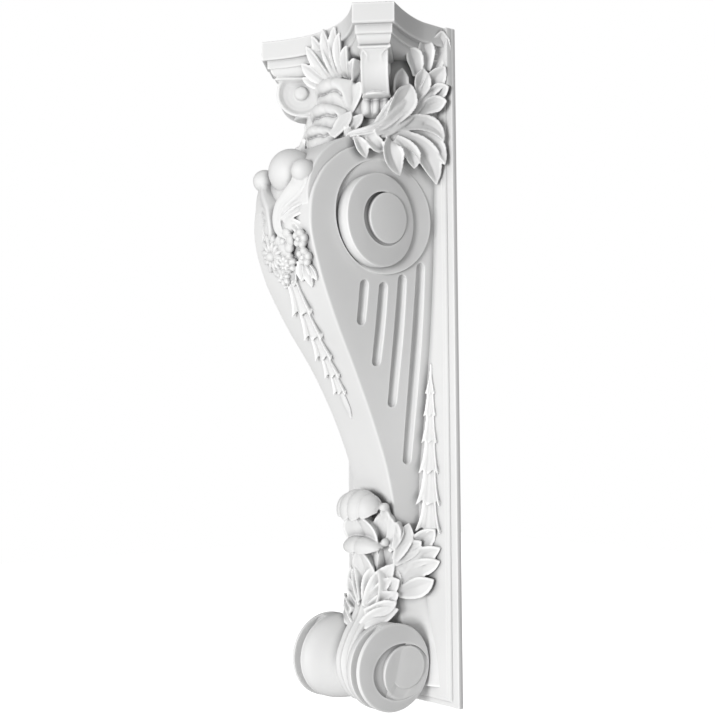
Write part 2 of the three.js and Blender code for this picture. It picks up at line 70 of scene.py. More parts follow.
# %% Sizes that several pieces share
PLATE_WIDTH = 220.0
PLATE_HEIGHT = 900.0
PLATE_THICK = 7.5
FIELD_RISE = 5.0
ABACUS_BOTTOM = 849.0
MM = 0.001
print("plate", PLATE_WIDTH, "by", PLATE_HEIGHT)


# %% Points, parts and lofts
def in_metres(points):
    points = np.asarray(points, float)
    return np.column_stack([points[:, 0], -points[:, 1], points[:, 2] - PLATE_HEIGHT / 2]) * MM


def loft(rings):
    rings = np.asarray(rings, float)
    rows, count = rings.shape[:2]
    faces = []
    for row in range(rows - 1):
        for i in range(count):
            a = row * count + i
            b = row * count + (i + 1) % count
            faces.append((a, b, b + count, a + count))
    faces.append(tuple(range(count - 1, -1, -1)))
    faces.append(tuple(range((rows - 1) * count, rows * count)))
    return rings.reshape(-1, 3), faces


def mirrored(part):
    points, faces = part
    flipped = points * np.array([-1.0, 1.0, 1.0])
    return flipped, [tuple(reversed(face)) for face in faces]


def both(parts):
    return list(parts) + [mirrored(part) for part in parts]


def unit(v):
    v = np.asarray(v, float)
    return v / np.linalg.norm(v)


print("the foot of the plate lies at", in_metres([(0, 0, 0)])[0], "metres")

# %% [markdown]
# A carved form is easier to write down as rings of points than to push about by hand, so every part here is
# a list of points and faces. One helper makes a mesh of such parts, one cuts or joins two forms, and one
# fuses parts that overlap into a single skin. A boolean keeps an edge crisp, and a voxel remesh softens the
# line where two forms meet, as plaster does in a mould, so mouldings get the first and leaves the second.

# %% Meshes, cuts and fused skins
def deselect():
    bpy.ops.object.select_all(action="DESELECT")


def pick(piece):
    deselect()
    piece.select_set(True)
    bpy.context.view_layer.objects.active = piece


def mesh_of(name, parts):
    points = []
    faces = []
    for part_points, part_faces in parts:
        start = sum(len(p) for p in points)
        points.append(part_points)
        faces.extend(tuple(i + start for i in face) for face in part_faces)
    mesh = bpy.data.meshes.new(name)
    mesh.from_pydata(in_metres(np.concatenate(points)).tolist(), [], faces)
    form = bmesh.new()
    form.from_mesh(mesh)
    bmesh.ops.recalc_face_normals(form, faces=form.faces)
    form.to_mesh(mesh)
    form.free()
    piece = bpy.data.objects.new(name, mesh)
    bpy.context.collection.objects.link(piece)
    return piece


def use(piece, kind, **settings):
    pick(piece)
    modifier = piece.modifiers.new(kind.lower(), kind)
    for key, value in settings.items():
        setattr(modifier, key, value)
    bpy.ops.object.modifier_apply(modifier=modifier.name)
    return piece


def smooth_by_angle(piece, degrees=32):
    pick(piece)
    bpy.ops.object.shade_smooth_by_angle(angle=math.radians(degrees))
    return piece


def fuse(name, parts, grain=1.1, passes=3):
    piece = mesh_of(name, parts)
    use(piece, "REMESH", mode="VOXEL", voxel_size=grain * MM)
    use(piece, "SMOOTH", factor=0.5, iterations=passes)
    pick(piece)
    bpy.ops.object.shade_smooth()
    print(name, len(piece.data.polygons), "faces")
    return piece


def cut(piece, tool, operation="DIFFERENCE"):
    use(piece, "BOOLEAN", operation=operation, object=tool, solver="EXACT")
    bpy.data.objects.remove(tool)
    return piece


print("mesh helpers ready")

# %% [markdown]
# The console narrows from its top scroll to its foot. It could be a block that is cut to its side view, but
# its flanks also lean and swell. So its outline is given at a few heights, each with the half-width at the
# plate, the half-width of the face and the depth, and one smooth curve runs through them.

# %% A smooth curve through given places
def on_curve(stops, places, slopes, s):
    i = int(np.clip(np.searchsorted(stops, s) - 1, 0, len(stops) - 2))
    span = stops[i + 1] - stops[i]
    t = (s - stops[i]) / span
    place = (2 * t**3 - 3 * t**2 + 1) * places[i] + (3 * t**2 - 2 * t**3) * places[i + 1]
    lean = (t**3 - 2 * t**2 + t) * slopes[i] + (t**3 - t**2) * slopes[i + 1]
    return place + lean * span


def spline(points, count):
    points = np.asarray(points, float)
    steps = np.concatenate([[0], np.cumsum(np.linalg.norm(np.diff(points[:, :3], axis=0), axis=1))])
    slopes = np.gradient(points, steps, axis=0)
    return np.array([on_curve(steps, points, slopes, s) for s in np.linspace(0, steps[-1], count)])


print("halfway along a rising curve", spline([(0, 0, 0), (0, 10, 5), (0, 30, 30)], 3)[1])

# %% The console's outline
CONSOLE_FOOT = 24.0
CONSOLE_TOP = 738.0
STATIONS = np.array([
    [CONSOLE_FOOT, 87, 50, 40],
    [60, 82, 46, 42],
    [100, 68, 44, 44],
    [140, 57, 41, 47],
    [190, 48, 38.5, 49],
    [250, 43, 37.5, 52],
    [300, 45.5, 38, 64],
    [360, 54, 39.5, 88],
    [430, 63, 44.5, 124.5],
    [500, 70, 54.5, 168],
    [560, 74.5, 61, 198],
    [620, 77.5, 62, 213],
    [665, 79, 62, 205],
    [700, 80, 62, 179],
    [722, 80, 62, 146],
    [CONSOLE_TOP, 80, 62, 96],
], float)
SLOPES = np.gradient(STATIONS[:, 1:], STATIONS[:, 0], axis=0)


def outline_at(z):
    return on_curve(STATIONS[:, 0], STATIONS[:, 1:], SLOPES, z)


def side_at(z, depth):
    back, front, face = outline_at(z)
    return back + (front - back) * (depth - PLATE_THICK) / (face - PLATE_THICK)


def face_at(z):
    return outline_at(z)[2]


print("console's half-widths and depth at 500 mm", outline_at(500))

# %% [markdown]
# The back plate is a flat board with a raised field whose edge is a small moulding, and a thicker block
# behind the capital. The moulding could be swept round the field, but its corners would need mitring. Each
# board is a cube at its size instead, and the field's front is inset and pushed out in steps, which mitres
# the corners by itself.

# %% The boards of the back plate
EDGE = 1.2
EDGE_STEPS = 2
BOARD_BACK = 3.0
FIELD_MARGIN = 11.0
FIELD_FOOT = 7.0
FIELD_TOP = 860.0
FIELD_START = 0.6
# Each step of the moulding: how far it is set in, then how far it rises.
FIELD_STEPS = [(0.6, 1.2), (1.2, 1.3), (1.6, 0.5), (1.8, 0.4), (1.2, 1.0)]
BLOCK_DEPTH = 16.2
BLOCK_FOOT = 819.0
BLOCK_SIDE_CLEAR = 0.25
BLOCK_TOP_CLEAR = 0.2


def board(name, width, depth, low, high, back=0.0):
    deselect()
    bpy.ops.mesh.primitive_cube_add(size=1)
    piece = bpy.context.active_object
    piece.name = name
    corners = np.array([v.co for v in piece.data.vertices]) + 0.5
    points = np.column_stack([
        (corners[:, 0] - 0.5) * width,
        back + (1 - corners[:, 1]) * (depth - back),
        low + corners[:, 2] * (high - low),
    ])
    for vertex, place in zip(piece.data.vertices, in_metres(points)):
        vertex.co = place
    return piece


def raise_front(piece, steps):
    pick(piece)
    bpy.ops.object.mode_set(mode="EDIT")
    bpy.ops.mesh.select_mode(type="FACE")
    bpy.ops.mesh.select_all(action="DESELECT")
    form = bmesh.from_edit_mesh(piece.data)
    front = min(form.faces, key=lambda face: face.calc_center_median().y)
    front.select = True
    bmesh.update_edit_mesh(piece.data)
    for inset, rise in steps:
        bpy.ops.mesh.inset(thickness=inset * MM, depth=0)
        bpy.ops.transform.translate(value=(0, -rise * MM, 0))
    bpy.ops.object.mode_set(mode="OBJECT")
    return piece


def ease_edges(piece):
    return use(piece, "BEVEL", width=EDGE * MM, segments=EDGE_STEPS, limit_method="ANGLE")


field_width = PLATE_WIDTH - FIELD_MARGIN * 2
block_width = PLATE_WIDTH - BLOCK_SIDE_CLEAR * 2
block_top = PLATE_HEIGHT - BLOCK_TOP_CLEAR
plate = ease_edges(board("plate", PLATE_WIDTH, PLATE_THICK, 0, PLATE_HEIGHT))
field = board("field", field_width, PLATE_THICK + FIELD_START, FIELD_FOOT, FIELD_TOP, BOARD_BACK)
raise_front(field, FIELD_STEPS)
block = ease_edges(board("block", block_width, BLOCK_DEPTH, BLOCK_FOOT, block_top, BOARD_BACK))
for board_piece in (plate, field, block):
    smooth_by_angle(board_piece)
print("plate, field and block made")

# %% [markdown]
# The abacus is the shelf at the top. Its outline has hollow sides and cut corners, and the moulding under
# it steps in three times. A bevel with a profile could make the moulding on a straight slab, but it would
# pinch at the sharp horns. So the shelf is lofted down through rings of one outline, each set in further.

# %% The abacus
ABACUS_BACK = 9
ABACUS_HALF = 104
SIDE_START = 52
SIDE_BULGE = 4
ABACUS_DEPTH = 175.0
HORN = (137.5, 136.5)
HORN_FRONT = 99
HORN_MITRE = 1.2
CUT_MITRE = 0.5
SIDE_SWEEP = 0.62
FRONT_HOLLOW = 76
SIDE_POINTS = 26
FRONT_POINTS = 48
# Height and how far the outline is set in.
ABACUS_FLATS = [
    (900, 1.0), (899.0, 0), (874.2, 0), (873, 1.2), (872.8, 6),
    (872.2, 6.6), (862.2, 6.6), (861.2, 7.6), (861, 9.5),
]
COVE_START = (860.4, 10)
COVE_FALL = 11.4
COVE_REACH = 13.5
COVE_STEPS = 8


def quadratic(a, b, c, count):
    t = np.linspace(0, 1, count)[:, None]
    return (1 - t) ** 2 * np.array(a) + 2 * t * (1 - t) * np.array(b) + t**2 * np.array(c)


def abacus_ring(z, inset):
    side = quadratic(
        (ABACUS_HALF - inset, SIDE_START),
        (ABACUS_HALF + SIDE_BULGE - inset, HORN[1] * SIDE_SWEEP),
        (HORN[0] - inset * HORN_MITRE, HORN[1] - inset * CUT_MITRE),
        SIDE_POINTS,
    )
    front = quadratic(
        (HORN_FRONT - inset * CUT_MITRE, ABACUS_DEPTH - inset * HORN_MITRE),
        (0, ABACUS_DEPTH - inset - FRONT_HOLLOW),
        (-HORN_FRONT + inset * CUT_MITRE, ABACUS_DEPTH - inset * HORN_MITRE),
        FRONT_POINTS,
    )
    right = np.vstack([[ABACUS_HALF - inset, ABACUS_BACK], side])
    left = (right * np.array([-1, 1]))[::-1]
    flat = np.vstack([right, front, left])
    return np.column_stack([flat, np.full(len(flat), z)])


def abacus_levels():
    levels = list(ABACUS_FLATS)
    for step in np.linspace(0, 1, COVE_STEPS):
        turn = step * math.pi / 2
        z = COVE_START[0] - COVE_FALL * math.sin(turn)
        levels.append((z, COVE_START[1] + COVE_REACH * (1 - math.cos(turn))))
    return levels


abacus = mesh_of("abacus", [loft([abacus_ring(z, inset) for z, inset in abacus_levels()])])
smooth_by_angle(abacus, 28)
print("abacus", len(abacus.data.polygons), "faces")

# %% [markdown]
# The console itself is lofted from foot to top, and hollows a little beside the foot scroll. The round
# recess of its side scroll and its round-ended flutes could be lofted with it, but their edges would turn
# ragged where they cross the rings. Both are cut with a boolean from the finished body instead.

# %% The console's body
CORNER = 3.2
CORNER_TURNS = np.radians([22.5, 45, 67.5, 90])
FLANK_HOLLOW = 9.0
FLANK_STEPS = 8
HOLLOW_TOP = 130
HOLLOW_FADE = 70
CONSOLE_RINGS = 150


def console_ring(z):
    back, front, depth = outline_at(z)
    start = np.array([back, PLATE_THICK + 2])
    end = np.array([front, depth - CORNER])
    half = [(back, 2), tuple(start)]
    dip = FLANK_HOLLOW * float(np.clip((HOLLOW_TOP - z) / HOLLOW_FADE, 0, 1))
    for share in np.linspace(0, 1, FLANK_STEPS + 1)[1:]:
        place = start + (end - start) * share
        half.append((place[0] - dip * math.sin(math.pi * share), place[1]))
    for turn in CORNER_TURNS:
        half.append((front - CORNER * (1 - math.cos(turn)), depth - CORNER * (1 - math.sin(turn))))
    for share in (0.66, 0.33, 0):
        half.append(((front - CORNER) * share, depth))
    other = [(-x, d) for x, d in reversed(half[:-1])]
    return [(x, d, z) for x, d in half + other]


console_heights = np.linspace(CONSOLE_FOOT, CONSOLE_TOP, CONSOLE_RINGS)
body = mesh_of("console", [loft([console_ring(z) for z in console_heights])])
print("console", len(body.data.polygons), "faces")

# %% [markdown]
# Each scroll's end is a low stack of discs. A disc could be a cylinder with a bevel, but some of these have
# a face or a floor that leans, which gives the scroll its slow fall towards one side. So a disc is lofted
# from its inner face to its outer one, and each of the two faces has its own lean.

# %% A disc across the console, with a rounded rim and faces that may lean
DISC_SIDES = 112
# Shares of the rim: how far under the face, and how far in from the side.
RIM_CURVE = [(0.6, 0.09), (0.29, 0.29), (0.08, 0.62), (0, 1)]


def disc(inner, outer, centre, across, up, lean=(0, 0), rim=1.2, inner_lean=(0, 0)):
    depth, height = centre
    turns = np.linspace(0, 2 * math.pi, DISC_SIDES, endpoint=False)

    def ring(x, less, slope):
        out = np.cos(turns)
        high = np.sin(turns)
        leaned = x + (slope[0] * out * (across - less) / across) + (slope[1] * high * (up - less) / up)
        return np.column_stack([leaned, depth + out * (across - less), height + high * (up - less)])

    rows = [ring(inner, 0, inner_lean), ring(outer - rim, 0, lean)]
    if rim > 0:
        rows += [ring(outer - rim * drop, rim * less, lean) for drop, less in RIM_CURVE]
    return loft(rows)


print("a disc has", len(disc(0, 1, (0, 0), 10, 10)[0]), "points")

# %% Cut the scroll's recess
BOSS_CENTRE = (111, 627)
SEAT = side_at(BOSS_CENTRE[1], BOSS_CENTRE[0])
TURN_CENTRE = (98, 634)
TURN_RADIUS = 76.0
TURN_LEAN = (-11, 0)
RECESS_SINK = 3
CUT_REACH = 60
recess_floor = SEAT - RECESS_SINK
recess_mouth = SEAT + CUT_REACH
recess = disc(recess_floor, recess_mouth, TURN_CENTRE, TURN_RADIUS, TURN_RADIUS, rim=0, inner_lean=TURN_LEAN)
cut(body, mesh_of("recess", both([recess])))
print("recess cut at", round(SEAT, 1))

# %% Cut the flutes
FLUTE_DEPTHS = [33.5, 64, 94.5, 125.5]
FLUTE_TOPS = [578, 560, 548, 549]
FLUTE_FEET = [310, 385, 438, 490]
FLUTE_RADIUS = 6.8
FLUTE_SIDES = 40
# Height over the flank, and the share of the radius there.
FLUTE_LEVELS = [
    (-5.6, 0.15), (-5.3, 0.5), (-4.4, 0.75), (-3, 0.91), (-1.2, 0.99), (-0.7, 1.02), (0.2, 1.12), (6, 1.5),
]


def flute(depth, top, foot):
    turns = np.linspace(0, 2 * math.pi, FLUTE_SIDES, endpoint=False)
    high = np.array([side_at(top - FLUTE_RADIUS, depth), depth, top - FLUTE_RADIUS])
    low = np.array([side_at(foot + FLUTE_RADIUS, depth), depth, foot + FLUTE_RADIUS])
    along = unit(high - low)
    back, front, face = outline_at((top + foot) / 2)
    across = unit(np.array([front - back, face - PLATE_THICK, 0]))
    out = unit(np.cross(along, across))
    out = out * np.sign(out[0])
    rows = []
    for sink, share in FLUTE_LEVELS:
        radius = FLUTE_RADIUS * share
        ends = np.where(np.sin(turns)[:, None] >= 0, high, low)
        ring = ends + np.outer(np.cos(turns) * radius, across) + np.outer(np.sin(turns) * radius, along)
        rows.append(ring + out * sink)
    return loft(rows)


flutes = [flute(*sizes) for sizes in zip(FLUTE_DEPTHS, FLUTE_TOPS, FLUTE_FEET)]
cut(body, mesh_of("flutes", both(flutes)))
smooth_by_angle(body, 30)
print("flutes cut", len(body.data.polygons), "faces")

# %% [markdown]
# The scroll in the recess reads as one band that winds in to an eye. A true spiral could be swept, but only
# two steps of this one can be seen. So a round boss stands on the recess's leaning floor, a slot that is off
# its centre is cut in its face, and the eye fills the slot but for a crescent.

# %% A stack of discs
DISC_ROOT = 22


def keep(part):
    return part


def disc_stack(name, hand, base, slot, *fills):
    stack = mesh_of(name, [hand(base)])
    cut(stack, mesh_of("slot", [hand(slot)]))
    for fill in fills:
        cut(stack, mesh_of("fill", [hand(fill)]), "UNION")
    return smooth_by_angle(stack, 30)


print("a stack's discs start", DISC_ROOT, "mm inside")

# %% The side scroll
FLOOR_RADIUS = TURN_RADIUS + 0.5
BOSS_OUT = 12.0
BOSS_RADII = (57.5, 62)
SLOT_SINK = 4.5
SLOT_CENTRE = (104, 629)
SLOT_RADII = (37, 36)
SLOT_LEAN = (-4, -1.5)
EYE_ROOT = 14
EYE_STAND = 0.8
EYE_CENTRE = (98.5, 630.5)
EYE_RADII = (30.5, 34)
EYE_LEAN = (-2, 0.6)
boss_face = SEAT + BOSS_OUT
side_root = SEAT - DISC_ROOT
slot_floor = boss_face - SLOT_SINK
eye_face = boss_face + EYE_STAND
floor_disc = disc(side_root, SEAT, TURN_CENTRE, FLOOR_RADIUS, FLOOR_RADIUS, lean=TURN_LEAN, rim=1.0)
boss = disc(side_root, boss_face, BOSS_CENTRE, *BOSS_RADII, rim=1.4)
eye_slot = disc(slot_floor, boss_face + 12, SLOT_CENTRE, *SLOT_RADII, rim=0, inner_lean=SLOT_LEAN)
eye = disc(boss_face - EYE_ROOT, eye_face, EYE_CENTRE, *EYE_RADII, lean=EYE_LEAN, rim=1.8)
side_discs = (boss, eye_slot, floor_disc, eye)
scroll_right = disc_stack("scroll_right", keep, *side_discs)
scroll_left = disc_stack("scroll_left", mirrored, *side_discs)
print("side scrolls", len(scroll_right.data.polygons), "faces each")

# %% [markdown]
# The capital's core is a bell, which widens to meet the abacus. A collar follows the console's top down its
# front and thins out to nothing. A cube could be shaped to either, but both have an outline that changes
# evenly along one line, so both are lofted. The leaves stand on them.

# %% The bell
BELL_FOOT = 700.0
BELL_SINK = 6
BELL_FLARE = 26
BELL_BACK = 99
BELL_FRONT = 64
BELL_DEPTH = 112
BELL_CORNER = 20
BELL_SHOULDER = (12, 56)
FRONT_FLARE = 0.4
BELL_RINGS = 12


def bell_ring(share):
    widen = BELL_FLARE * (share - 1)
    back = BELL_BACK + widen
    front = BELL_FRONT + widen * FRONT_FLARE
    depth = BELL_DEPTH + widen * FRONT_FLARE
    z = BELL_FOOT + (ABACUS_BOTTOM + BELL_SINK - BELL_FOOT) * share
    shoulder = (back - BELL_SHOULDER[0], BELL_SHOULDER[1])
    last = (front - BELL_CORNER, depth)
    corners = np.array([(back, 2), (back, 18), shoulder, (front, depth - BELL_CORNER), last])
    right = np.vstack([corners[:-1], quadratic(last, (0, depth + 1), (-last[0], depth), 5)[:-1]])
    left = (corners * [-1, 1])[::-1]
    return np.column_stack([np.vstack([right, left]), np.full(len(right) + len(left), z)])


bell = mesh_of("bell", [loft([bell_ring(share) for share in np.linspace(0, 1, BELL_RINGS)])])
smooth_by_angle(bell, 30)
print("bell", len(bell.data.polygons), "faces")

# %% The collar at the console's top
NECK_FOOT = 640
NECK_TOP = 737
NECK_RINGS = 30
NECK_RISE = 15
NECK_RUN = 60
NECK_SINK = 14
NECK_SIDES = [(20, 0), (55, 0), (56.3, 0.7), (57, 2.2)]


def across_face(x, flat):
    return np.column_stack([np.full(len(flat), x), flat])


def neck():
    heights = np.linspace(NECK_FOOT, NECK_TOP, NECK_RINGS)
    top = np.array([(face_at(z), z) for z in heights])
    slope = np.gradient(top, axis=0)
    normal = np.column_stack([slope[:, 1], -slope[:, 0]])
    normal /= np.linalg.norm(normal, axis=1)[:, None]
    grow = NECK_RISE * np.clip((heights - NECK_FOOT) / NECK_RUN, 0, 1)[:, None] ** 0.8
    inner = (top - normal * NECK_SINK)[::-1]
    rings = []
    for x, less in [(-x, less) for x, less in reversed(NECK_SIDES)] + NECK_SIDES:
        outer = top + normal * np.maximum(grow - less, -2)
        rings.append(across_face(x, np.vstack([outer, inner])))
    return loft(rings)


neck_band = mesh_of("neck", [neck()])
smooth_by_angle(neck_band, 40)
print("collar", len(neck_band.data.polygons), "faces")

# %% [markdown]
# The foot scroll is a roll that narrows to a waist in the middle. It could be turned on a lathe, but its
# ends stand further out than its waist, so it is lofted through ovals that shift and grow. A crescent is cut
# behind each end, where the band of the scroll parts from the roll.

# %% The foot scroll's roll
ROLL_END = 64.5
ROLL_RINGS = 61
LIP_HALF = 49.0
WAIST_HALF = 16
WAIST = np.array([64, 47.5, 43, 43])
END = np.array([79.3, 54.5, 60, 54])
CRESCENT_START = LIP_HALF + 2.5
CRESCENT_TURN = 62
CRESCENT_CENTRE = (58, 56)
CRESCENT_RADIUS = 62
CLEAR = 12


def arc(centre, across, up, turns):
    return np.column_stack([centre[0] + np.cos(turns) * across, centre[1] + np.sin(turns) * up])


def roll_ring(x):
    run = np.clip((abs(x) - WAIST_HALF) / (LIP_HALF - WAIST_HALF - 2), 0, 1)
    share = math.sin(run * math.pi / 2) ** 1.3
    depth, height, across, up = WAIST + (END - WAIST) * share
    turns = np.linspace(0, 2 * math.pi, DISC_SIDES, endpoint=False)
    return across_face(x, arc((depth, height), across, up, turns))


def crescent(near, far):
    turns = np.radians(np.linspace(-CRESCENT_TURN, CRESCENT_TURN, 48))
    outer = arc(END[:2], END[2] + CLEAR, END[3] + CLEAR, turns)
    inner = arc(CRESCENT_CENTRE, CRESCENT_RADIUS, CRESCENT_RADIUS, turns)[::-1]
    return loft([across_face(x, np.vstack([outer, inner])) for x in (near, far)])


roll = mesh_of("foot_roll", [loft([roll_ring(x) for x in np.linspace(-ROLL_END, ROLL_END, ROLL_RINGS)])])
cut(roll, mesh_of("crescent", both([crescent(CRESCENT_START, ROLL_END + 6)])))
smooth_by_angle(roll, 35)
print("roll", len(roll.data.polygons), "faces")

# %% The foot scroll's ends
END_FACE = 68.5
END_DEEP = 9
END_CENTRE = (80, 54.7)
END_RADII = (60.3, 54.6)
CHANNEL_SINK = 3.4
CHANNEL_CENTRE = (68.5, 48.5)
CHANNEL_RADII = (48, 35)
CHANNEL_LEAN = (-3.6, -1.5)
STEP_SINK = 2.6
STEP_CENTRE = (64, 47.5)
STEP_RADII = (33.4, 33)
STEP_LEAN = (2.8, 2.6)
FOOT_EYE_STAND = 0.4
FOOT_EYE_CENTRE = (58.4, 53)
FOOT_EYE_RADII = (27.4, 27)
FOOT_EYE_LEAN = (-2.8, 0.8)
end_root = END_FACE - END_DEEP
channel_floor = END_FACE - CHANNEL_SINK
channel_mouth = END_FACE + 10
foot_eye_face = END_FACE + FOOT_EYE_STAND
end_disc = disc(ROLL_END - 1, END_FACE, END_CENTRE, *END_RADII, rim=1.6)
channel = disc(channel_floor, channel_mouth, CHANNEL_CENTRE, *CHANNEL_RADII, rim=0, inner_lean=CHANNEL_LEAN)
step = disc(end_root, END_FACE - STEP_SINK, STEP_CENTRE, *STEP_RADII, lean=STEP_LEAN, rim=1.4)
foot_eye = disc(end_root, foot_eye_face, FOOT_EYE_CENTRE, *FOOT_EYE_RADII, lean=FOOT_EYE_LEAN, rim=1.8)
end_discs = (end_disc, channel, step, foot_eye)
end_right = disc_stack("foot_disc_right", keep, *end_discs)
end_left = disc_stack("foot_disc_left", mirrored, *end_discs)
print("foot scroll's ends", len(end_right.data.polygons), "faces each")

# %% [markdown]
# A ribbed stem runs down the middle of the foot scroll and under it. A curve with a bevel object could make
# it, but a bevel object keeps one shape and this stem narrows. So its section is swept along its line as a
# loft. A section is written for one half and mirrored, as (share of the half-width, height).

# %% Sections swept along a line
def whole_section(half_top, under):
    other = [(-s, h) for s, h in reversed(half_top[:-1])]
    return half_top + other + under


def swept(line, halves, section, facing):
    rings = []
    for place, tangent, half in zip(line, np.gradient(line, axis=0), halves):
        along = unit(tangent)
        side = unit(np.cross(along, facing))
        out = unit(np.cross(side, along))
        rings.append([place + side * s * half + out * h for s, h in section])
    return loft(rings)


print("a section of", len(whole_section([(-1, 0), (0, 1)], [(0, -1)])), "points from two of a half")

# %% The stem over the foot scroll
STEM_LINE = [
    (0, 60, 214), (0, 66, 178), (0, 71, 140), (0, 80, 112), (0, 98, 86),
    (0, 109, 58), (0, 102, 28), (0, 80, 6), (0, 58, 4),
]
STEM_TOP = [(-1, -6), (-0.97, 0), (-0.8, 2.2), (-0.62, 2.4), (-0.42, 0.2), (-0.2, 1.4), (0, 3.2)]
STEM_SECTION = whole_section(STEM_TOP, [(0.6, -24), (-0.6, -24)])
STEM_RINGS = 70
STEM_HALF = 15
stem_path = spline(STEM_LINE, STEM_RINGS)
stem_halves = STEM_HALF * (1.5 - 0.5 * np.clip(np.linspace(0, 1.8, STEM_RINGS), 0, 1))


def swept_upright(line, halves, section):
    rings = []
    for place, tangent, half in zip(line, np.gradient(line, axis=0), halves):
        out = unit((0, -tangent[2], tangent[1]))
        rings.append([place + np.array([s * half, 0, 0]) + out * h for s, h in section])
    return loft(rings)


stem = mesh_of("foot_stem", [swept_upright(stem_path, stem_halves, STEM_SECTION)])
smooth_by_angle(stem, 50)
print("stem", len(stem.data.polygons), "faces")

# %% [markdown]
# A carved acanthus leaf is a fan of lobes, each a shallow spoon with a raised rim, a groove down its middle
# and a pointed tip. It could be sculpted by hand, which no script can repeat. So one lobe is a swept section
# whose width swells and closes along a bent line, and all the lobes of a leaf overlap and are fused.

# %% A leaf's lobe
LOBE_RINGS = 17
LOBE_ACROSS = 13
WIDEST = 0.58
GROOVE = 0.15
THICK = 3.4
ROOT_WIDTH = 0.45
TIP_WIDTH = 0.05


def bent(base, middle, tip, count):
    control = 2 * np.array(middle) - (np.array(base) + np.array(tip)) / 2
    return quadratic(base, control, tip, count)


def lobe_width(t):
    grown = ROOT_WIDTH + (1 - ROOT_WIDTH) * np.sin(np.clip(t / WIDEST, 0, 1) * math.pi / 2)
    closing = np.clip((t - WIDEST) / (1 - WIDEST), 0, 1)
    return np.maximum(grown * (1 - closing**1.8) ** 0.8, TIP_WIDTH)


def lobe(base, middle, tip, half, facing, cup=0.34, vein=-0.1, back=14, lift=0):
    t = np.linspace(0, 1, LOBE_RINGS)
    line = bent(base, middle, tip, LOBE_RINGS)
    rings = []
    for step, place, tangent, width in zip(t, line, np.gradient(line, axis=0), lobe_width(t)):
        along = unit(tangent)
        side = unit(np.cross(along, unit(facing)))
        out = unit(np.cross(side, along))
        reach = half * width
        deep = cup * half * width * (0.45 + 0.55 * math.sin(math.pi * min(1, step * 1.15)))
        raised = lift * step**2
        section = []
        for s in np.linspace(-1, 1, LOBE_ACROSS):
            ridge = vein * half * width * math.exp(-((s / GROOVE) ** 2))
            h = deep * (abs(s) ** 1.7 - 0.6) + ridge + raised
            section.append((s, h - 0.5 if abs(s) > 0.95 else h))
        edge = raised - THICK
        flank = -back * 0.6 * width - THICK + raised
        keel = -back * width - THICK + raised
        section += [(0.86, edge), (0.45, flank), (0, keel), (-0.45, flank), (-0.86, edge)]
        rings.append([place + side * s * reach + out * h for s, h in section])
    return loft(rings)


print("a lobe has", len(lobe((0, 0, 0), (0, 5, 20), (0, 8, 40), 8, (0, 1, 0))[0]), "points")


# %% Knobs and pebbles, the second on three axes of its own
def knob(centre, radii, turns=20, square=1.0):
    around = np.linspace(0, 2 * math.pi, turns * 2, endpoint=False)
    rows = []
    for a in np.linspace(0.02, math.pi - 0.02, turns):
        rows.append(np.column_stack([
            centre[0] + radii[0] * math.sin(a) ** square * np.cos(around),
            centre[1] + radii[1] * math.sin(a) ** square * np.sin(around),
            np.full(len(around), centre[2] + radii[2] * math.cos(a)),
        ]))
    return loft(rows)


def pebble(centre, axes, turns=10):
    rows = []
    for a in np.linspace(0.03, math.pi - 0.03, turns):
        row = []
        for b in np.linspace(0, 2 * math.pi, turns * 2, endpoint=False):
            ball = (math.sin(a) * math.cos(b), math.sin(a) * math.sin(b), math.cos(a))
            row.append(centre + sum(axis * share for axis, share in zip(axes, ball)))
        rows.append(row)
    return loft(rows)


print("a knob has", len(knob((0, 0, 0), (1, 1, 1))[0]), "points")


# %% A leaf's tip that rolls over like a hood
HOOD_TURNS = 22
HOOD_RINGS = 10
HOOD_DROP = 0.6


def hood(depth, height, half, thick, tall, lobes):
    rings = []
    for share in np.linspace(-1, 1, lobes * HOOD_RINGS + 1):
        size = math.sqrt(1 - 0.93 * share * share)
        bulge = abs(math.sin(math.pi * lobes * (share + 1) / 2)) ** 0.55
        reach = size * (0.87 + 0.13 * bulge)
        low = HOOD_DROP * (0.72 + 0.28 * bulge)
        turns = np.linspace(math.pi * 1.05, -low, HOOD_TURNS)
        outer = np.column_stack([np.cos(turns) * thick * reach, np.sin(turns) * tall * reach])
        inner = outer[::-1] * 0.5 + np.array([-thick * 0.12, -tall * 0.1])
        flat = np.vstack([outer, inner[2:-2]]) + np.array([depth, height])
        rings.append(across_face(half * share, flat))
    return loft(rings)


print("a hood of three lobes has", len(hood(0, 0, 30, 10, 10, 3)[0]), "points")

# %% [markdown]
# The capital's side leaf lies along the bell, from a stalk at the console's top to tips under the abacus
# and over the scroll. Its lobes could be spread by a formula, but the carver bent each one its own way. So
# each is given by its base, its middle, its tip and its half-width, as they lie on the object. Two broad
# flat lobes lie behind the others as the leaf's palm.

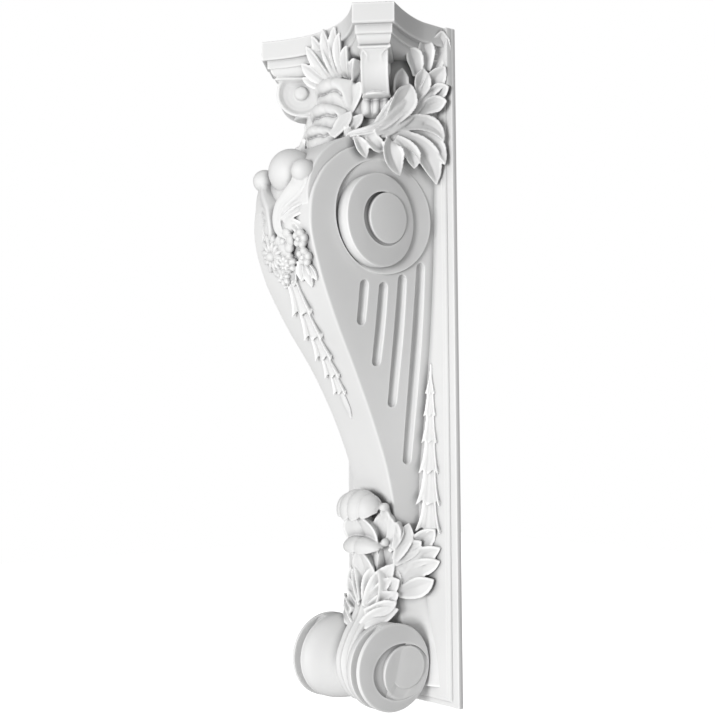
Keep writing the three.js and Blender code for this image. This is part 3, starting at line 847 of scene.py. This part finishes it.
# %% The capital's side leaves
SIDE_LOBES = [
    ((96, 55, 794), (102, 34, 820), (113, 22, 843), 11),
    ((96, 49, 793), (103, 28, 808), (115, 19, 814), 9),
    ((96, 55, 798), (100, 52, 817), (100, 49, 838), 10),
    ((88, 104, 755), (97, 84, 785), (99, 72, 812), 14),
    ((96, 32, 835), (103, 23, 868), (110, 24, 893), 12),
    ((96, 40, 836), (101, 45, 860), (101, 49, 883), 10),
    ((92, 55, 827), (99, 64, 847), (98, 79, 861), 10),
    ((88, 87, 790), (93, 85, 811), (93, 82, 834), 9),
    ((96, 55, 777), (102, 34, 790), (113, 20, 795), 9),
    ((86, 124, 740), (99, 51, 763), (109, 22, 740), 9),
    ((90, 86, 741), (99, 37, 742), (109, 20, 709), 9),
    ((90, 86, 741), (99, 46, 722), (92, 20, 684), 13),
    ((90, 92, 738), (97, 70, 719), (90, 59, 700), 9),
    ((88, 96, 735), (95, 101, 715), (88, 82, 688), 12),
    ((76, 129, 737), (85, 122, 726), (82, 104, 720), 8),
    ((68, 143, 736), (77, 140, 723), (74, 128, 707), 7),
]
SIDE_FACING = (1, 0.3, -0.1)
LOBE_SPREAD = 1.3
STALK_RINGS = 36
STALK = [
    (44, 138, 736, 2), (58, 142, 738, 7), (74, 132, 739, 10), (86, 112, 746, 12),
    (93, 84, 768, 15), (96, 55, 794, 12), (99, 38, 812, 7),
]
STALK_TOP = [(-1, -5), (-0.96, -1), (-0.8, 1), (-0.55, 0.4), (-0.3, -0.6), (-0.16, 0.8), (0, 3.4)]
STALK_SECTION = whole_section(STALK_TOP, [(0.8, -10), (0, -20), (-0.8, -10)])
SIDE_PALMS = [
    ((80, 116, 742), (93, 76, 776), (98, 34, 806), 28),
    ((84, 100, 740), (90, 66, 732), (90, 36, 716), 20),
]
side_parts = [lobe(a, b, c, half * LOBE_SPREAD, SIDE_FACING, cup=0.56) for a, b, c, half in SIDE_LOBES]
stalk_line = spline(STALK, STALK_RINGS)
side_parts.append(swept(stalk_line[:, :3], stalk_line[:, 3], STALK_SECTION, SIDE_FACING))
side_parts += [lobe(*sizes, SIDE_FACING, cup=0.05, vein=0.05, lift=-3) for sizes in SIDE_PALMS]
leaf_right = fuse("capital_leaf_right", side_parts)
leaf_left = fuse("capital_leaf_left", [mirrored(part) for part in side_parts])

# %% [markdown]
# The leaf on the capital's front rises from the console's top. Three broad folds roll over one above the
# other, a fan of tips spreads over them up the abacus, and small lobes close the sides. A fold could be a
# bent sheet, but it would need a back to be cast. So each is lofted across as a closed outline, whose lower
# edge rises and falls to give the fold its scallops.

# %% The capital's front leaf
FRONT_FACING = (0.1, 1, 0)
# Depth, top, half-width, thickness, thickness at the ends as a share, and fall towards the ends.
FOLDS = [
    (146.5, 829, 35, 16, 2.7, 6),
    (156, 793, 34, 14.5, 1.45, 13),
    (167.5, 760.5, 29, 12, 1.1, 10),
]
FOLD_SHARES = (0, 0.2, 0.36, 0.6, 0.77, 0.88, 1)
FOLD_RINGS = 61
FOLD_BULGE = 8.5
FOLD_BACK = 50
DIMPLE_AT = 0.36
DIMPLE_WIDTH = 0.075
FRONT_TIPS = [
    ((0, 120, 832), (0, 137, 866), (0, 145, 898.5), 10),
    ((6, 120, 832), (14, 137, 866), (25, 145, 896), 10),
    ((12, 118, 832), (23, 138, 857), (36, 146, 884), 9),
    ((20, 116, 828), (34, 136, 844), (49, 144, 863), 9),
    ((26, 114, 822), (41, 130, 834), (56, 137, 845), 6.5),
]
FRONT_SIDES = [
    ((31, 124, 776), (38, 120, 800), (42, 113, 822), 10),
    ((38, 114, 772), (46, 109, 792), (53, 102, 810), 9),
    ((28, 150, 742), (36, 140, 760), (42, 128, 778), 10),
    ((37, 136, 746), (45, 127, 760), (52, 116, 774), 9),
]
FRONT_SIDE_FACING = (0.6, 1, 0)
FRONT_CORES = [((0, 146, 738), (15, 10, 9)), ((0, 128, 745), (26, 22, 40))]


def fold(depth, top, half, thick, end, fall):
    rings = []
    for share in np.linspace(-1, 1, FOLD_RINGS):
        s = abs(share)
        dimple = math.exp(-(((s - DIMPLE_AT) / DIMPLE_WIDTH) ** 2))
        drop = thick * np.interp(s, FOLD_SHARES, (1.28, 1.2, 1, 1.1, end * 0.55, end, end))
        bulge = FOLD_BULGE * (1 - 0.24 * dimple) * math.sqrt(1 - 0.9 * s**6)
        level = top - dimple - fall * s**2.4
        middle = depth - FOLD_BULGE - 18 * s**2
        lip = level - drop
        floor_level = min(top - FOLD_BACK, lip - 14)
        turns = np.radians(np.linspace(120, -90, 20))
        rolled = arc((middle, level - drop / 2), bulge, drop / 2, turns)
        under = [
            (middle - bulge * 0.25, lip + 0.8),
            (middle - bulge * 0.25, lip - 1),
            (middle + bulge * 0.4, lip - 3.5),
            (middle + bulge * 0.6, lip - 8),
            (middle + bulge * 0.3, floor_level),
            (middle - FOLD_BACK, floor_level),
            (middle - FOLD_BACK, level - 2),
        ]
        rings.append(across_face(half * share, np.vstack([rolled, under])))
    return loft(rings)


front_parts = [fold(*sizes) for sizes in FOLDS]
for sizes in FRONT_TIPS:
    front_parts += both([lobe(*sizes, FRONT_FACING, cup=0.5, back=20)])
for sizes in FRONT_SIDES:
    front_parts += both([lobe(*sizes, FRONT_SIDE_FACING, cup=0.3, back=22)])
front_parts += [knob(*sizes) for sizes in FRONT_CORES]
leaf_front = fuse("capital_leaf_front", front_parts)

# %% [markdown]
# Under each corner of the abacus is a small scroll, set across the corner. Its round body could be two
# cylinders, but its ends have a sunk channel and an eye, so it is turned from one outline. A band runs up
# its front to the abacus, and three buds hang under it from a thin lip.

# %% The corner scrolls
SCROLL_PLACE = (79.4, 116.9, 827.5)
SCROLL_PROFILE = [
    (19.4, 0.2), (19.0, 4.5), (17.8, 7.8), (15.5, 9.4), (11.5, 10.4), (10.8, 12.5), (11.4, 20), (13.2, 26),
    (16.2, 29.4), (17.8, 31), (18.2, 32.5), (18.1, 34), (17.6, 35), (16.4, 35), (14, 34), (6, 33.2), (0, 33),
]
SCROLL_SIDES = 72
# Height, depth of the front and half-width of the band.
BAND_LEVELS = [
    (0, 33, 10), (10, 32.8, 10), (15, 32.4, 14), (17.5, 32.4, 18.4), (18.6, 35.4, 21.5),
    (20.6, 36, 22), (21.8, 34, 21), (30, 32, 20), (37, 33, 20),
]
BAND_BACK = -30
BUD_PLACES = (-13.8, -1, 11.8)
BUD_SIZE = (8, 15, 11.5)
BUD_BED = ((-1, -30, -45), (19, 16, 12))
LOW_LIP = ((0, -8, -34.6), (19.5, 20, 2.4))


def turned(profile):
    turns = np.linspace(0, 2 * math.pi, SCROLL_SIDES, endpoint=False)
    whole = profile + [(-x, r) for x, r in reversed(profile[:-1])]
    return loft([across_face(x, arc((0, 0), r, r, turns)) for x, r in whole])


def at_corner(part):
    points, faces = part
    half_turn = math.sqrt(0.5)
    x = points[:, 0] * half_turn + points[:, 1] * half_turn
    depth = points[:, 1] * half_turn - points[:, 0] * half_turn
    return np.column_stack([x, depth, points[:, 2]]) + np.array(SCROLL_PLACE), faces


def scroll_band():
    rows = []
    for z, front, half in BAND_LEVELS:
        edge = [(-half, front + 1, z), (-half + 1.6, front + 0.6, z), (-half + 3.6, front, z)]
        other = [(-x, depth, height) for x, depth, height in reversed(edge)]
        rows.append(edge + other + [(half, BAND_BACK, z), (-half, BAND_BACK, z)])
    return loft(rows)


corner_parts = [turned(SCROLL_PROFILE), scroll_band()]
corner_parts += [knob((x, -22, -45.5), BUD_SIZE, square=0.42) for x in BUD_PLACES]
corner_parts += [knob(*sizes, square=0.4) for sizes in (BUD_BED, LOW_LIP)]
corner_parts = [at_corner(part) for part in corner_parts]
corner_right = fuse("corner_scroll_right", corner_parts, grain=0.9, passes=2)
corner_left = fuse("corner_scroll_left", [mirrored(part) for part in corner_parts], grain=0.9, passes=2)

# %% [markdown]
# At the top of the console's face a ball is held between two curled leaves. Each leaf is a band in an S,
# from the flowers up to a round head beside the ball, with a fan of narrow lobes on its outer side. A curl
# could be bent from a strip, but its width changes all along, so it is swept with the stem's helper.

# %% The swelling and its curled leaves
# Place across, depth, height and half-width of the band.
CURL = [
    (43, 203, 689, 11), (43, 211.5, 681, 12.5), (39, 215.5, 666, 12.5), (27, 221.5, 653, 10.5),
    (14, 225.5, 640, 8), (9, 226, 624, 7), (10, 223, 610, 6.5), (20, 216, 600, 4),
]
CURL_SECTION = [
    (-1, -4), (-0.98, 0.5), (-0.8, 2.6), (-0.4, 3.4), (0, 3),
    (0.45, 1.6), (0.72, 2.4), (0.95, 2), (1, -3), (0.6, -22), (-0.6, -22),
]
CURL_FACING = (0.35, 1, -0.2)
CURL_RINGS = 48
VEINS = [
    ((14, 226, 634), (32, 220, 652), (52, 206, 664), 7),
    ((16, 225, 628), (36, 218, 643), (54, 205, 652), 6.5),
    ((17, 224, 622), (37, 216, 633), (56, 203, 641), 7),
]
LOW_VEINS = [
    ((26, 219, 624), (34, 215, 612), (37, 212, 600), 5),
    ((30, 218, 622), (42, 213, 612), (47, 210, 600), 5),
]
VEIN_FACING = (0.6, 1, -0.1)
CURL_HEAD = ((42, 208.5, 685), (15, 17, 15.5))
HEAD_BACK = ((43, 196, 672), (13, 18, 22))
CURL_FOOT = ((21, 214, 619), (11, 8, 15))
BALL = ((0, 196, 692), (30, 31, 31))
curl_line = spline(CURL, CURL_RINGS)
curl = swept(curl_line[:, :3], curl_line[:, 3], CURL_SECTION, CURL_FACING)
vein_lobes = [lobe(*sizes, VEIN_FACING, cup=0.5, back=22) for sizes in VEINS]
vein_lobes += [lobe(*sizes, VEIN_FACING, cup=0.4, back=16) for sizes in LOW_VEINS]
top_parts = both([curl, knob(*CURL_HEAD, turns=28), knob(*HEAD_BACK)] + vein_lobes)
top_parts += both([knob(*CURL_FOOT)])
top_parts.append(knob(*BALL, turns=40))
curls = fuse("curled_leaves", top_parts, grain=0.85, passes=2)

# %% [markdown]
# The flowers are rounds of petals about a button. Petals could be lobes like the leaf's, but at this size
# their rims would melt away. So each is a pebble that lies outwards, and the creases between pebbles stay
# crisp when the flower is fused. Two rounds of petals make a full flower.

# %% The flowers
SLOPE_REACH = 6
BED = 0.8
ROUND_LESS = 0.36
PETAL_OUT = 0.6
PETAL_HALF = 0.46
BUTTON = 0.24
# Place across, height, radius, petals in a round, rounds, and a petal's plumpness.
FLOWERS = [
    (-11, 583, 29, 13, 2, 0.86), (14, 598, 17, 6, 1, 0.95), (45, 597, 12, 5, 1, 0.8),
    (45, 575, 12, 5, 1, 0.8), (10, 572, 14, 7, 2, 0.8), (-8, 556, 12, 7, 1, 0.8),
]


def face_axes(z):
    slope = (face_at(z + SLOPE_REACH) - face_at(z - SLOPE_REACH)) / (SLOPE_REACH * 2)
    return unit((0, slope, 1)), unit((0, 1, -slope))


def flower(x, z, radius, petals, layers, plump):
    upward_along, out = face_axes(z)
    across = np.array([1.0, 0, 0])
    centre = np.array([x, face_at(z), z])
    parts = [pebble(centre, (across * radius * BED, upward_along * radius * BED, out * 4))]
    for layer in range(layers):
        size = radius * (1 - ROUND_LESS * layer)
        for i in range(petals):
            turn = 2 * math.pi * (i + 0.5 * layer) / petals
            along = across * math.cos(turn) + upward_along * math.sin(turn)
            side = across * -math.sin(turn) + upward_along * math.cos(turn)
            place = centre + along * size * PETAL_OUT + out * (5 + 5 * layer)
            width = size * math.sin(math.pi / petals) * plump
            parts.append(pebble(place, (along * size * PETAL_HALF, side * width, out * 6 + along * 1.2)))
    button = radius * BUTTON
    middle = centre + out * (4.6 + 4.8 * layers)
    parts.append(pebble(middle, (across * button, upward_along * button, out * button)))
    return parts


bloom_parts = []
for sizes in FLOWERS:
    bloom_parts += flower(*sizes)
print(len(FLOWERS), "flowers of", len(bloom_parts), "petals and buttons")

# %% The small leaves under the flowers
FACE_LEAVES = [
    ((-2, 562), (-10, 550), (-20, 540), 8),
    ((12, 562), (6, 550), (-6, 541), 8),
    ((28, 570), (26, 556), (20, 545), 8),
    ((34, 568), (38, 552), (36, 536), 8),
    ((38, 568), (47, 556), (51, 543), 7),
]
LEAF_OUTS = (3, 5, 3)
FACE_LEAF_FACING = (0, 1, -0.4)


def on_face(x, z, out):
    return (x, face_at(z) + out, z)


for *places, half in FACE_LEAVES:
    line = [on_face(*place, out) for place, out in zip(places, LEAF_OUTS)]
    bloom_parts.append(lobe(*line, half, FACE_LEAF_FACING, cup=0.5, back=8))
blooms = fuse("flowers", bloom_parts, grain=0.7, passes=1)

# %% [markdown]
# Husks hang in a chain down the face and on the plate. Each is a cup that flares downwards, with three
# ridges and a scalloped lower edge, and the next husk comes out from under it. One husk could be copied
# along a curve, but here each is a little narrower than the last and lies on a curved face. So a loop lofts
# them one by one.

# %% A husk
HUSK_RINGS = 13
HUSK_ACROSS = 21
HUSK_BACK = 5
SCALLOP = 0.07
RIDGE = 0.34


def husk(top, foot, half, facing, neck=0.54):
    top = np.array(top, float)
    foot = np.array(foot, float)
    length = np.linalg.norm(foot - top)
    along = unit(foot - top)
    side = unit(np.cross(along, unit(facing)))
    out = unit(np.cross(side, along))
    rings = []
    for t in np.linspace(0, 1, HUSK_RINGS):
        width = half * (neck + (1 - neck) * t**2.2)
        lift = half * (0.15 + 0.24 * t**2)
        ring = []
        for s in np.linspace(-1, 1, HUSK_ACROSS):
            wave = math.cos(2 * math.pi * s)
            place = top + along * (length * t + length * SCALLOP * t * wave)
            ring.append(place + side * s * width + out * lift * (1 - RIDGE + RIDGE * wave))
        for s in (0.85, 0, -0.85):
            ring.append(top + along * length * t * 0.96 + side * s * width - out * HUSK_BACK)
        rings.append(ring)
    return loft(rings)


print("a husk has", len(husk((0, 0, 30), (0, 0, 0), 10, (0, 1, 0))[0]), "points")

# %% The chain down the face
HUSK_HEIGHTS = [541, 509, 478, 452, 428, 406]
HUSK_HALVES = [20, 18.5, 17, 15, 12.5]
HUSK_FACING = (0, 1, -0.45)
LAST_HUSK = [(416, 2), (392, 3), (370, 2)]
TUCK = 8
chain = []
for half, high, low in zip(HUSK_HALVES, HUSK_HEIGHTS, HUSK_HEIGHTS[1:]):
    chain.append(husk(on_face(0, high + TUCK, 1), on_face(0, low - 1, 2), half, HUSK_FACING))
last_line = [on_face(0, z, out) for z, out in LAST_HUSK]
chain.append(lobe(*last_line, 6, HUSK_FACING, cup=-0.5, vein=0, back=6))
face_chain = fuse("face_husks", chain, grain=0.75, passes=1)

# %% The chains beside the console
SIDE_TOPS = [436, 408, 378, 343, 303, 262, 226]
SIDE_HALVES = [8, 10, 12.5, 16, 19.5, 21]
SIDE_NECKS = [0.15, 0.5, 0.5, 0.5, 0.5, 0.5]
SIDE_HUSK_FACING = (0.2, 1, 0)
CHAIN_OUT = PLATE_THICK + FIELD_RISE + 1.5


def on_field(z):
    return (66.5 + 3.5 * (z - 240) / 190, CHAIN_OUT, z)


side_chain = []
for half, side_neck, high, low in zip(SIDE_HALVES, SIDE_NECKS, SIDE_TOPS, SIDE_TOPS[1:]):
    side_chain.append(husk(on_field(high + 7), on_field(low - 3), half, SIDE_HUSK_FACING, side_neck))
side_husks = fuse("side_husks", both(side_chain), grain=0.8, passes=1)

# %% [markdown]
# The acanthus over the foot springs from the stem. Its middle tips roll over like hoods, and its side
# lobes spread back over the console's flanks and onto the plate. It could be joined from copies of the
# capital's leaf, but it grows the other way, so it has its own lobes and shares only the helpers.

# %% The foot's leaves
FOOT_SIDE = [
    ((44, 57, 185), (50, 46, 210), (47, 34, 233), 11),
    ((44, 60, 200), (46, 52, 218), (42, 46, 232), 7),
    ((44, 57, 181), (52, 39, 197), (64, 28, 209), 11),
    ((46, 48, 184), (59, 25, 207), (79, 18, 224), 14),
    ((46, 48, 178), (61, 27, 189), (87, 17, 201), 12),
    ((46, 48, 170), (61, 27, 175), (86, 17, 184), 12),
    ((46, 53, 143), (59, 34, 149), (79, 21, 160), 14),
]
FOOT_FRONT = [
    ((8, 78, 122), (27, 73, 152), (43, 57, 181), 14),
    ((6, 78, 130), (13, 78, 155), (21, 75, 177), 9),
    ((12, 75, 131), (36, 68, 148), (51, 55, 161), 13),
    ((12, 78, 123), (36, 71, 133), (52, 58, 144), 12),
    ((14, 86, 118), (37, 76, 124), (53, 62, 133), 10),
    ((10, 88, 100), (32, 81, 112), (54, 60, 124), 12),
    ((-20, 76, 124), (-26, 72, 146), (-27, 74, 172), 10),
]
SMALL_CURLS = [
    ((28, 60, 222), (36, 66, 240), (38, 76, 254), 7),
    ((32, 62, 208), (40, 60, 226), (42, 66, 243), 6),
    ((36, 60, 196), (44, 54, 216), (48, 58, 234), 6),
]
FOOT_PALM = ((42, 54, 152), (54, 36, 178), (68, 22, 200), 22)
FOOT_BODIES = [
    ((20, 46, 178), (29, 62, 214), (32, 68, 250), 18),
    ((26, 60, 132), (34, 58, 156), (38, 54, 178), 17),
]
FOOT_THROATS = [
    ((0, 62, 186), (0, 78, 216), (0, 92, 246), 34),
    ((0, 66, 140), (0, 74, 168), (0, 84, 198), 22),
]
FOOT_BUDS = [((38, 69, 254), (5, 7, 6)), ((33, 64, 208), (5, 7, 5.5))]
# Depth, height, half-width, thickness, height of the roll and number of lobes.
HOODS = [(80, 250, 37, 25, 27, 4), (75, 200, 35, 18, 15.5, 2)]
FOOT_FACING = (1, 0.7, 0)
FOOT_FORWARD = (0.6, 1, 0)
THROAT_FACING = (0, 1, 0.1)
foot_parts = [lobe(*sizes, FOOT_FACING, cup=0.42) for sizes in FOOT_SIDE]
foot_parts += [lobe(*sizes, FOOT_FORWARD, cup=0.42, back=18) for sizes in FOOT_FRONT]
foot_parts += [lobe(*sizes, FOOT_FORWARD, cup=0.2, back=22) for sizes in SMALL_CURLS]
foot_parts.append(lobe(*FOOT_PALM, FOOT_FACING, cup=0.05, vein=0.05, lift=-4))
foot_parts += [lobe(*sizes, FOOT_FORWARD, cup=0.1, back=24) for sizes in FOOT_BODIES]
foot_parts += [knob(*sizes) for sizes in FOOT_BUDS]
foot_parts = both(foot_parts)
foot_parts += [hood(*sizes) for sizes in HOODS]
foot_parts += [lobe(*sizes, THROAT_FACING, cup=0.1, back=28) for sizes in FOOT_THROATS]
foot_leaves = fuse("foot_leaves", foot_parts)

# %% [markdown]
# The whole corbel is one casting in white plaster: matt and very slightly uneven. Shade is painted into its
# hollows and a highlight is painted along its sharp edges, and nodes find both: the closeness of other
# surfaces darkens a hollow as painted shade, and a thin edge, seen from inside, turns paler as a painted
# highlight. Object coordinates keep the noise in place on every piece.

# %% Nodes and their settings
def node(tree, kind, **settings):
    made = tree.nodes.new("ShaderNode" + kind)
    for name, value in settings.items():
        made.inputs[name.replace("_", " ").title()].default_value = value
    return made


def noise(tree, place, **settings):
    made = node(tree, "TexNoise", **settings)
    tree.links.new(place, made.inputs["Vector"])
    return made.outputs["Fac"]


def ranged(tree, value, **settings):
    made = node(tree, "MapRange", **settings)
    tree.links.new(value, made.inputs["Value"])
    return made.outputs["Result"]


def mixed(tree, share, first, second):
    made = node(tree, "Mix")
    made.data_type = "RGBA"
    tree.links.new(share, made.inputs[0])
    for socket, colour in ((made.inputs[6], first), (made.inputs[7], second)):
        if isinstance(colour, tuple):
            socket.default_value = colour
        else:
            tree.links.new(colour, socket)
    return made.outputs[2]


def openness(tree, reach, own_inside):
    made = node(tree, "AmbientOcclusion", distance=reach * MM)
    made.samples = 8
    made.inside = own_inside
    made.only_local = own_inside
    return made.outputs["AO"]


print("node helpers ready")

# %% The plaster
PLASTER = (0.80, 0.80, 0.797, 1)
PLASTER_CLOUD = (0.77, 0.77, 0.766, 1)
# The grey below is painted shade for the hollows, mixed in where other surfaces are close.
PAINTED_HOLLOW_SHADE = (0.26, 0.26, 0.264, 1)
# The near-white below is a painted highlight for sharp convex edges.
PAINTED_EDGE_HIGHLIGHT = (0.99, 0.99, 0.985, 1)
# How far the painted shade and the painted edge highlight look for other surfaces.
PAINTED_SHADE_REACH = 12
PAINTED_HIGHLIGHT_REACH = 4


def plaster():
    material = bpy.data.materials.new("plaster")
    material.use_nodes = True
    tree = material.node_tree
    shader = tree.nodes["Principled BSDF"]
    shader.inputs["Roughness"].default_value = 0.55
    shader.inputs["Specular IOR Level"].default_value = 0.35
    place = node(tree, "TexCoord").outputs["Object"]
    tint = mixed(tree, noise(tree, place, scale=22, detail=5), PLASTER, PLASTER_CLOUD)
    # Painted shade: the closer other surfaces are, the more of the hollow grey is mixed into the plaster.
    raised = ranged(tree, openness(tree, PAINTED_SHADE_REACH, False), from_min=0.25, from_max=0.92)
    shade = mixed(tree, raised, PAINTED_HOLLOW_SHADE, tint)
    # Painted highlight: a thin edge, seen from inside, is mixed towards the near-white.
    edge = openness(tree, PAINTED_HIGHLIGHT_REACH, True)
    painted_highlight_share = ranged(tree, edge, from_min=0.4, from_max=0.95, to_min=1, to_max=0)
    tree.links.new(mixed(tree, painted_highlight_share, shade, PAINTED_EDGE_HIGHLIGHT), shader.inputs["Base Color"])
    bump = node(tree, "Bump", strength=0.04, distance=0.0004)
    tree.links.new(noise(tree, place, scale=900, detail=3), bump.inputs["Height"])
    tree.links.new(bump.outputs["Normal"], shader.inputs["Normal"])
    return material


finish = plaster()
print("plaster has", len(finish.node_tree.nodes), "nodes")

# %% Dress the solid in the pieces
pieces = [
    plate, field, block, abacus, body, scroll_right, scroll_left, bell, neck_band,
    roll, end_right, end_left, stem, leaf_right, leaf_left, leaf_front,
    corner_right, corner_left, curls, blooms, face_chain, side_husks, foot_leaves,
]
for piece in pieces:
    piece.data.materials.clear()
    piece.data.materials.append(finish)
    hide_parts("corbel")
    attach(piece, "root")
print(len(pieces), "pieces")

# %% [markdown]
# The camera stands to the right and a little below the middle, as for a photograph of the whole corbel. It
# could be aimed with a constraint, but its place, its turn and its rise say the same in three values that
# can be read. The lens is shifted a little, which moves the corbel in the frame without turning the camera.

# %% The camera
CAMERA_PLACE = (1.2153, -1.1133, -0.1007)
CAMERA_TURN = math.radians(51.073)
CAMERA_RISE = math.radians(6.664)
CAMERA_LENS = 59.327
CAMERA_SHIFT = (0.0391, -0.0850)
forward = Vector((
    -math.sin(CAMERA_TURN) * math.cos(CAMERA_RISE),
    math.cos(CAMERA_TURN) * math.cos(CAMERA_RISE),
    math.sin(CAMERA_RISE),
))
right = Vector((math.cos(CAMERA_TURN), math.sin(CAMERA_TURN), 0))
upward = right.cross(forward)
camera_data = bpy.data.cameras.new("camera")
camera_data.lens = CAMERA_LENS
camera_data.sensor_width = 36
camera_data.shift_x, camera_data.shift_y = CAMERA_SHIFT
camera = bpy.data.objects.new("camera", camera_data)
bpy.context.collection.objects.link(camera)
turn = Matrix((right, upward, -forward)).transposed()
camera.matrix_world = Matrix.Translation(CAMERA_PLACE) @ turn.to_4x4()
bpy.context.scene.camera = camera
print("camera at", CAMERA_PLACE)

# %% [markdown]
# One large lamp to the left of the camera models the forms, and a white room fills the shadows. A room
# that lights the cast as white as it looks would leave it flat. So the camera sees the room at full white,
# while the light that reaches the cast from it is only a third of that.

# %% The lamp
KEY_TURN = math.radians(20)
KEY_RISE = math.radians(-3)
KEY_REACH = 4.0
KEY_AIM = (0, -0.1, 0)
KEY_SIZE = 1.1
KEY_POWER = 110
key_place = Vector((
    math.sin(KEY_TURN) * math.cos(KEY_RISE),
    -math.cos(KEY_TURN) * math.cos(KEY_RISE),
    math.sin(KEY_RISE),
)) * KEY_REACH
lamp_data = bpy.data.lights.new("key", "AREA")
lamp_data.energy = KEY_POWER
lamp_data.size = KEY_SIZE
lamp = bpy.data.objects.new("key", lamp_data)
lamp.location = key_place
lamp.rotation_euler = (Vector(KEY_AIM) - key_place).to_track_quat("-Z", "Y").to_euler()
bpy.context.collection.objects.link(lamp)
print("lamp at", tuple(lamp.location))

# %% The room and the floor
ROOM_SEEN = 1.0
ROOM_LIT = 0.33
FLOOR_SIZE = 24
FLOOR_LEVEL = -1.6


def seen_white(tree, socket, seen, lit):
    path = node(tree, "LightPath")
    tree.links.new(ranged(tree, path.outputs["Is Camera Ray"], to_min=lit, to_max=seen), socket)


world = bpy.data.worlds.new("room")
bpy.context.scene.world = world
world.use_nodes = True
room = world.node_tree.nodes["Background"]
room.inputs["Color"].default_value = (1, 1, 1, 1)
seen_white(world.node_tree, room.inputs["Strength"], ROOM_SEEN, ROOM_LIT)
bpy.context.scene.view_settings.view_transform = "Standard"
deselect()
bpy.ops.mesh.primitive_plane_add(size=FLOOR_SIZE, location=(0, 0, FLOOR_LEVEL))
floor = bpy.context.active_object
floor.name = "floor"
floor_white = bpy.data.materials.new("floor_white")
floor_white.use_nodes = True
floor_shader = floor_white.node_tree.nodes["Principled BSDF"]
floor_shader.inputs["Base Color"].default_value = (0.8, 0.8, 0.8, 1)
floor_shader.inputs["Roughness"].default_value = 0.9
floor_shader.inputs["Emission Color"].default_value = (1, 1, 1, 1)
seen_white(floor_white.node_tree, floor_shader.inputs["Emission Strength"], ROOM_SEEN, 0.0)
floor.data.materials.append(floor_white)
floor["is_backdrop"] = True
print("room and floor set")

# %% Measure and finish
dressed_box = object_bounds()
print("dressed box", dressed_box)
sizes = {"solid": [list(map(float, corner)) for corner in solid_box]}
sizes["dressed"] = [list(map(float, corner)) for corner in dressed_box]
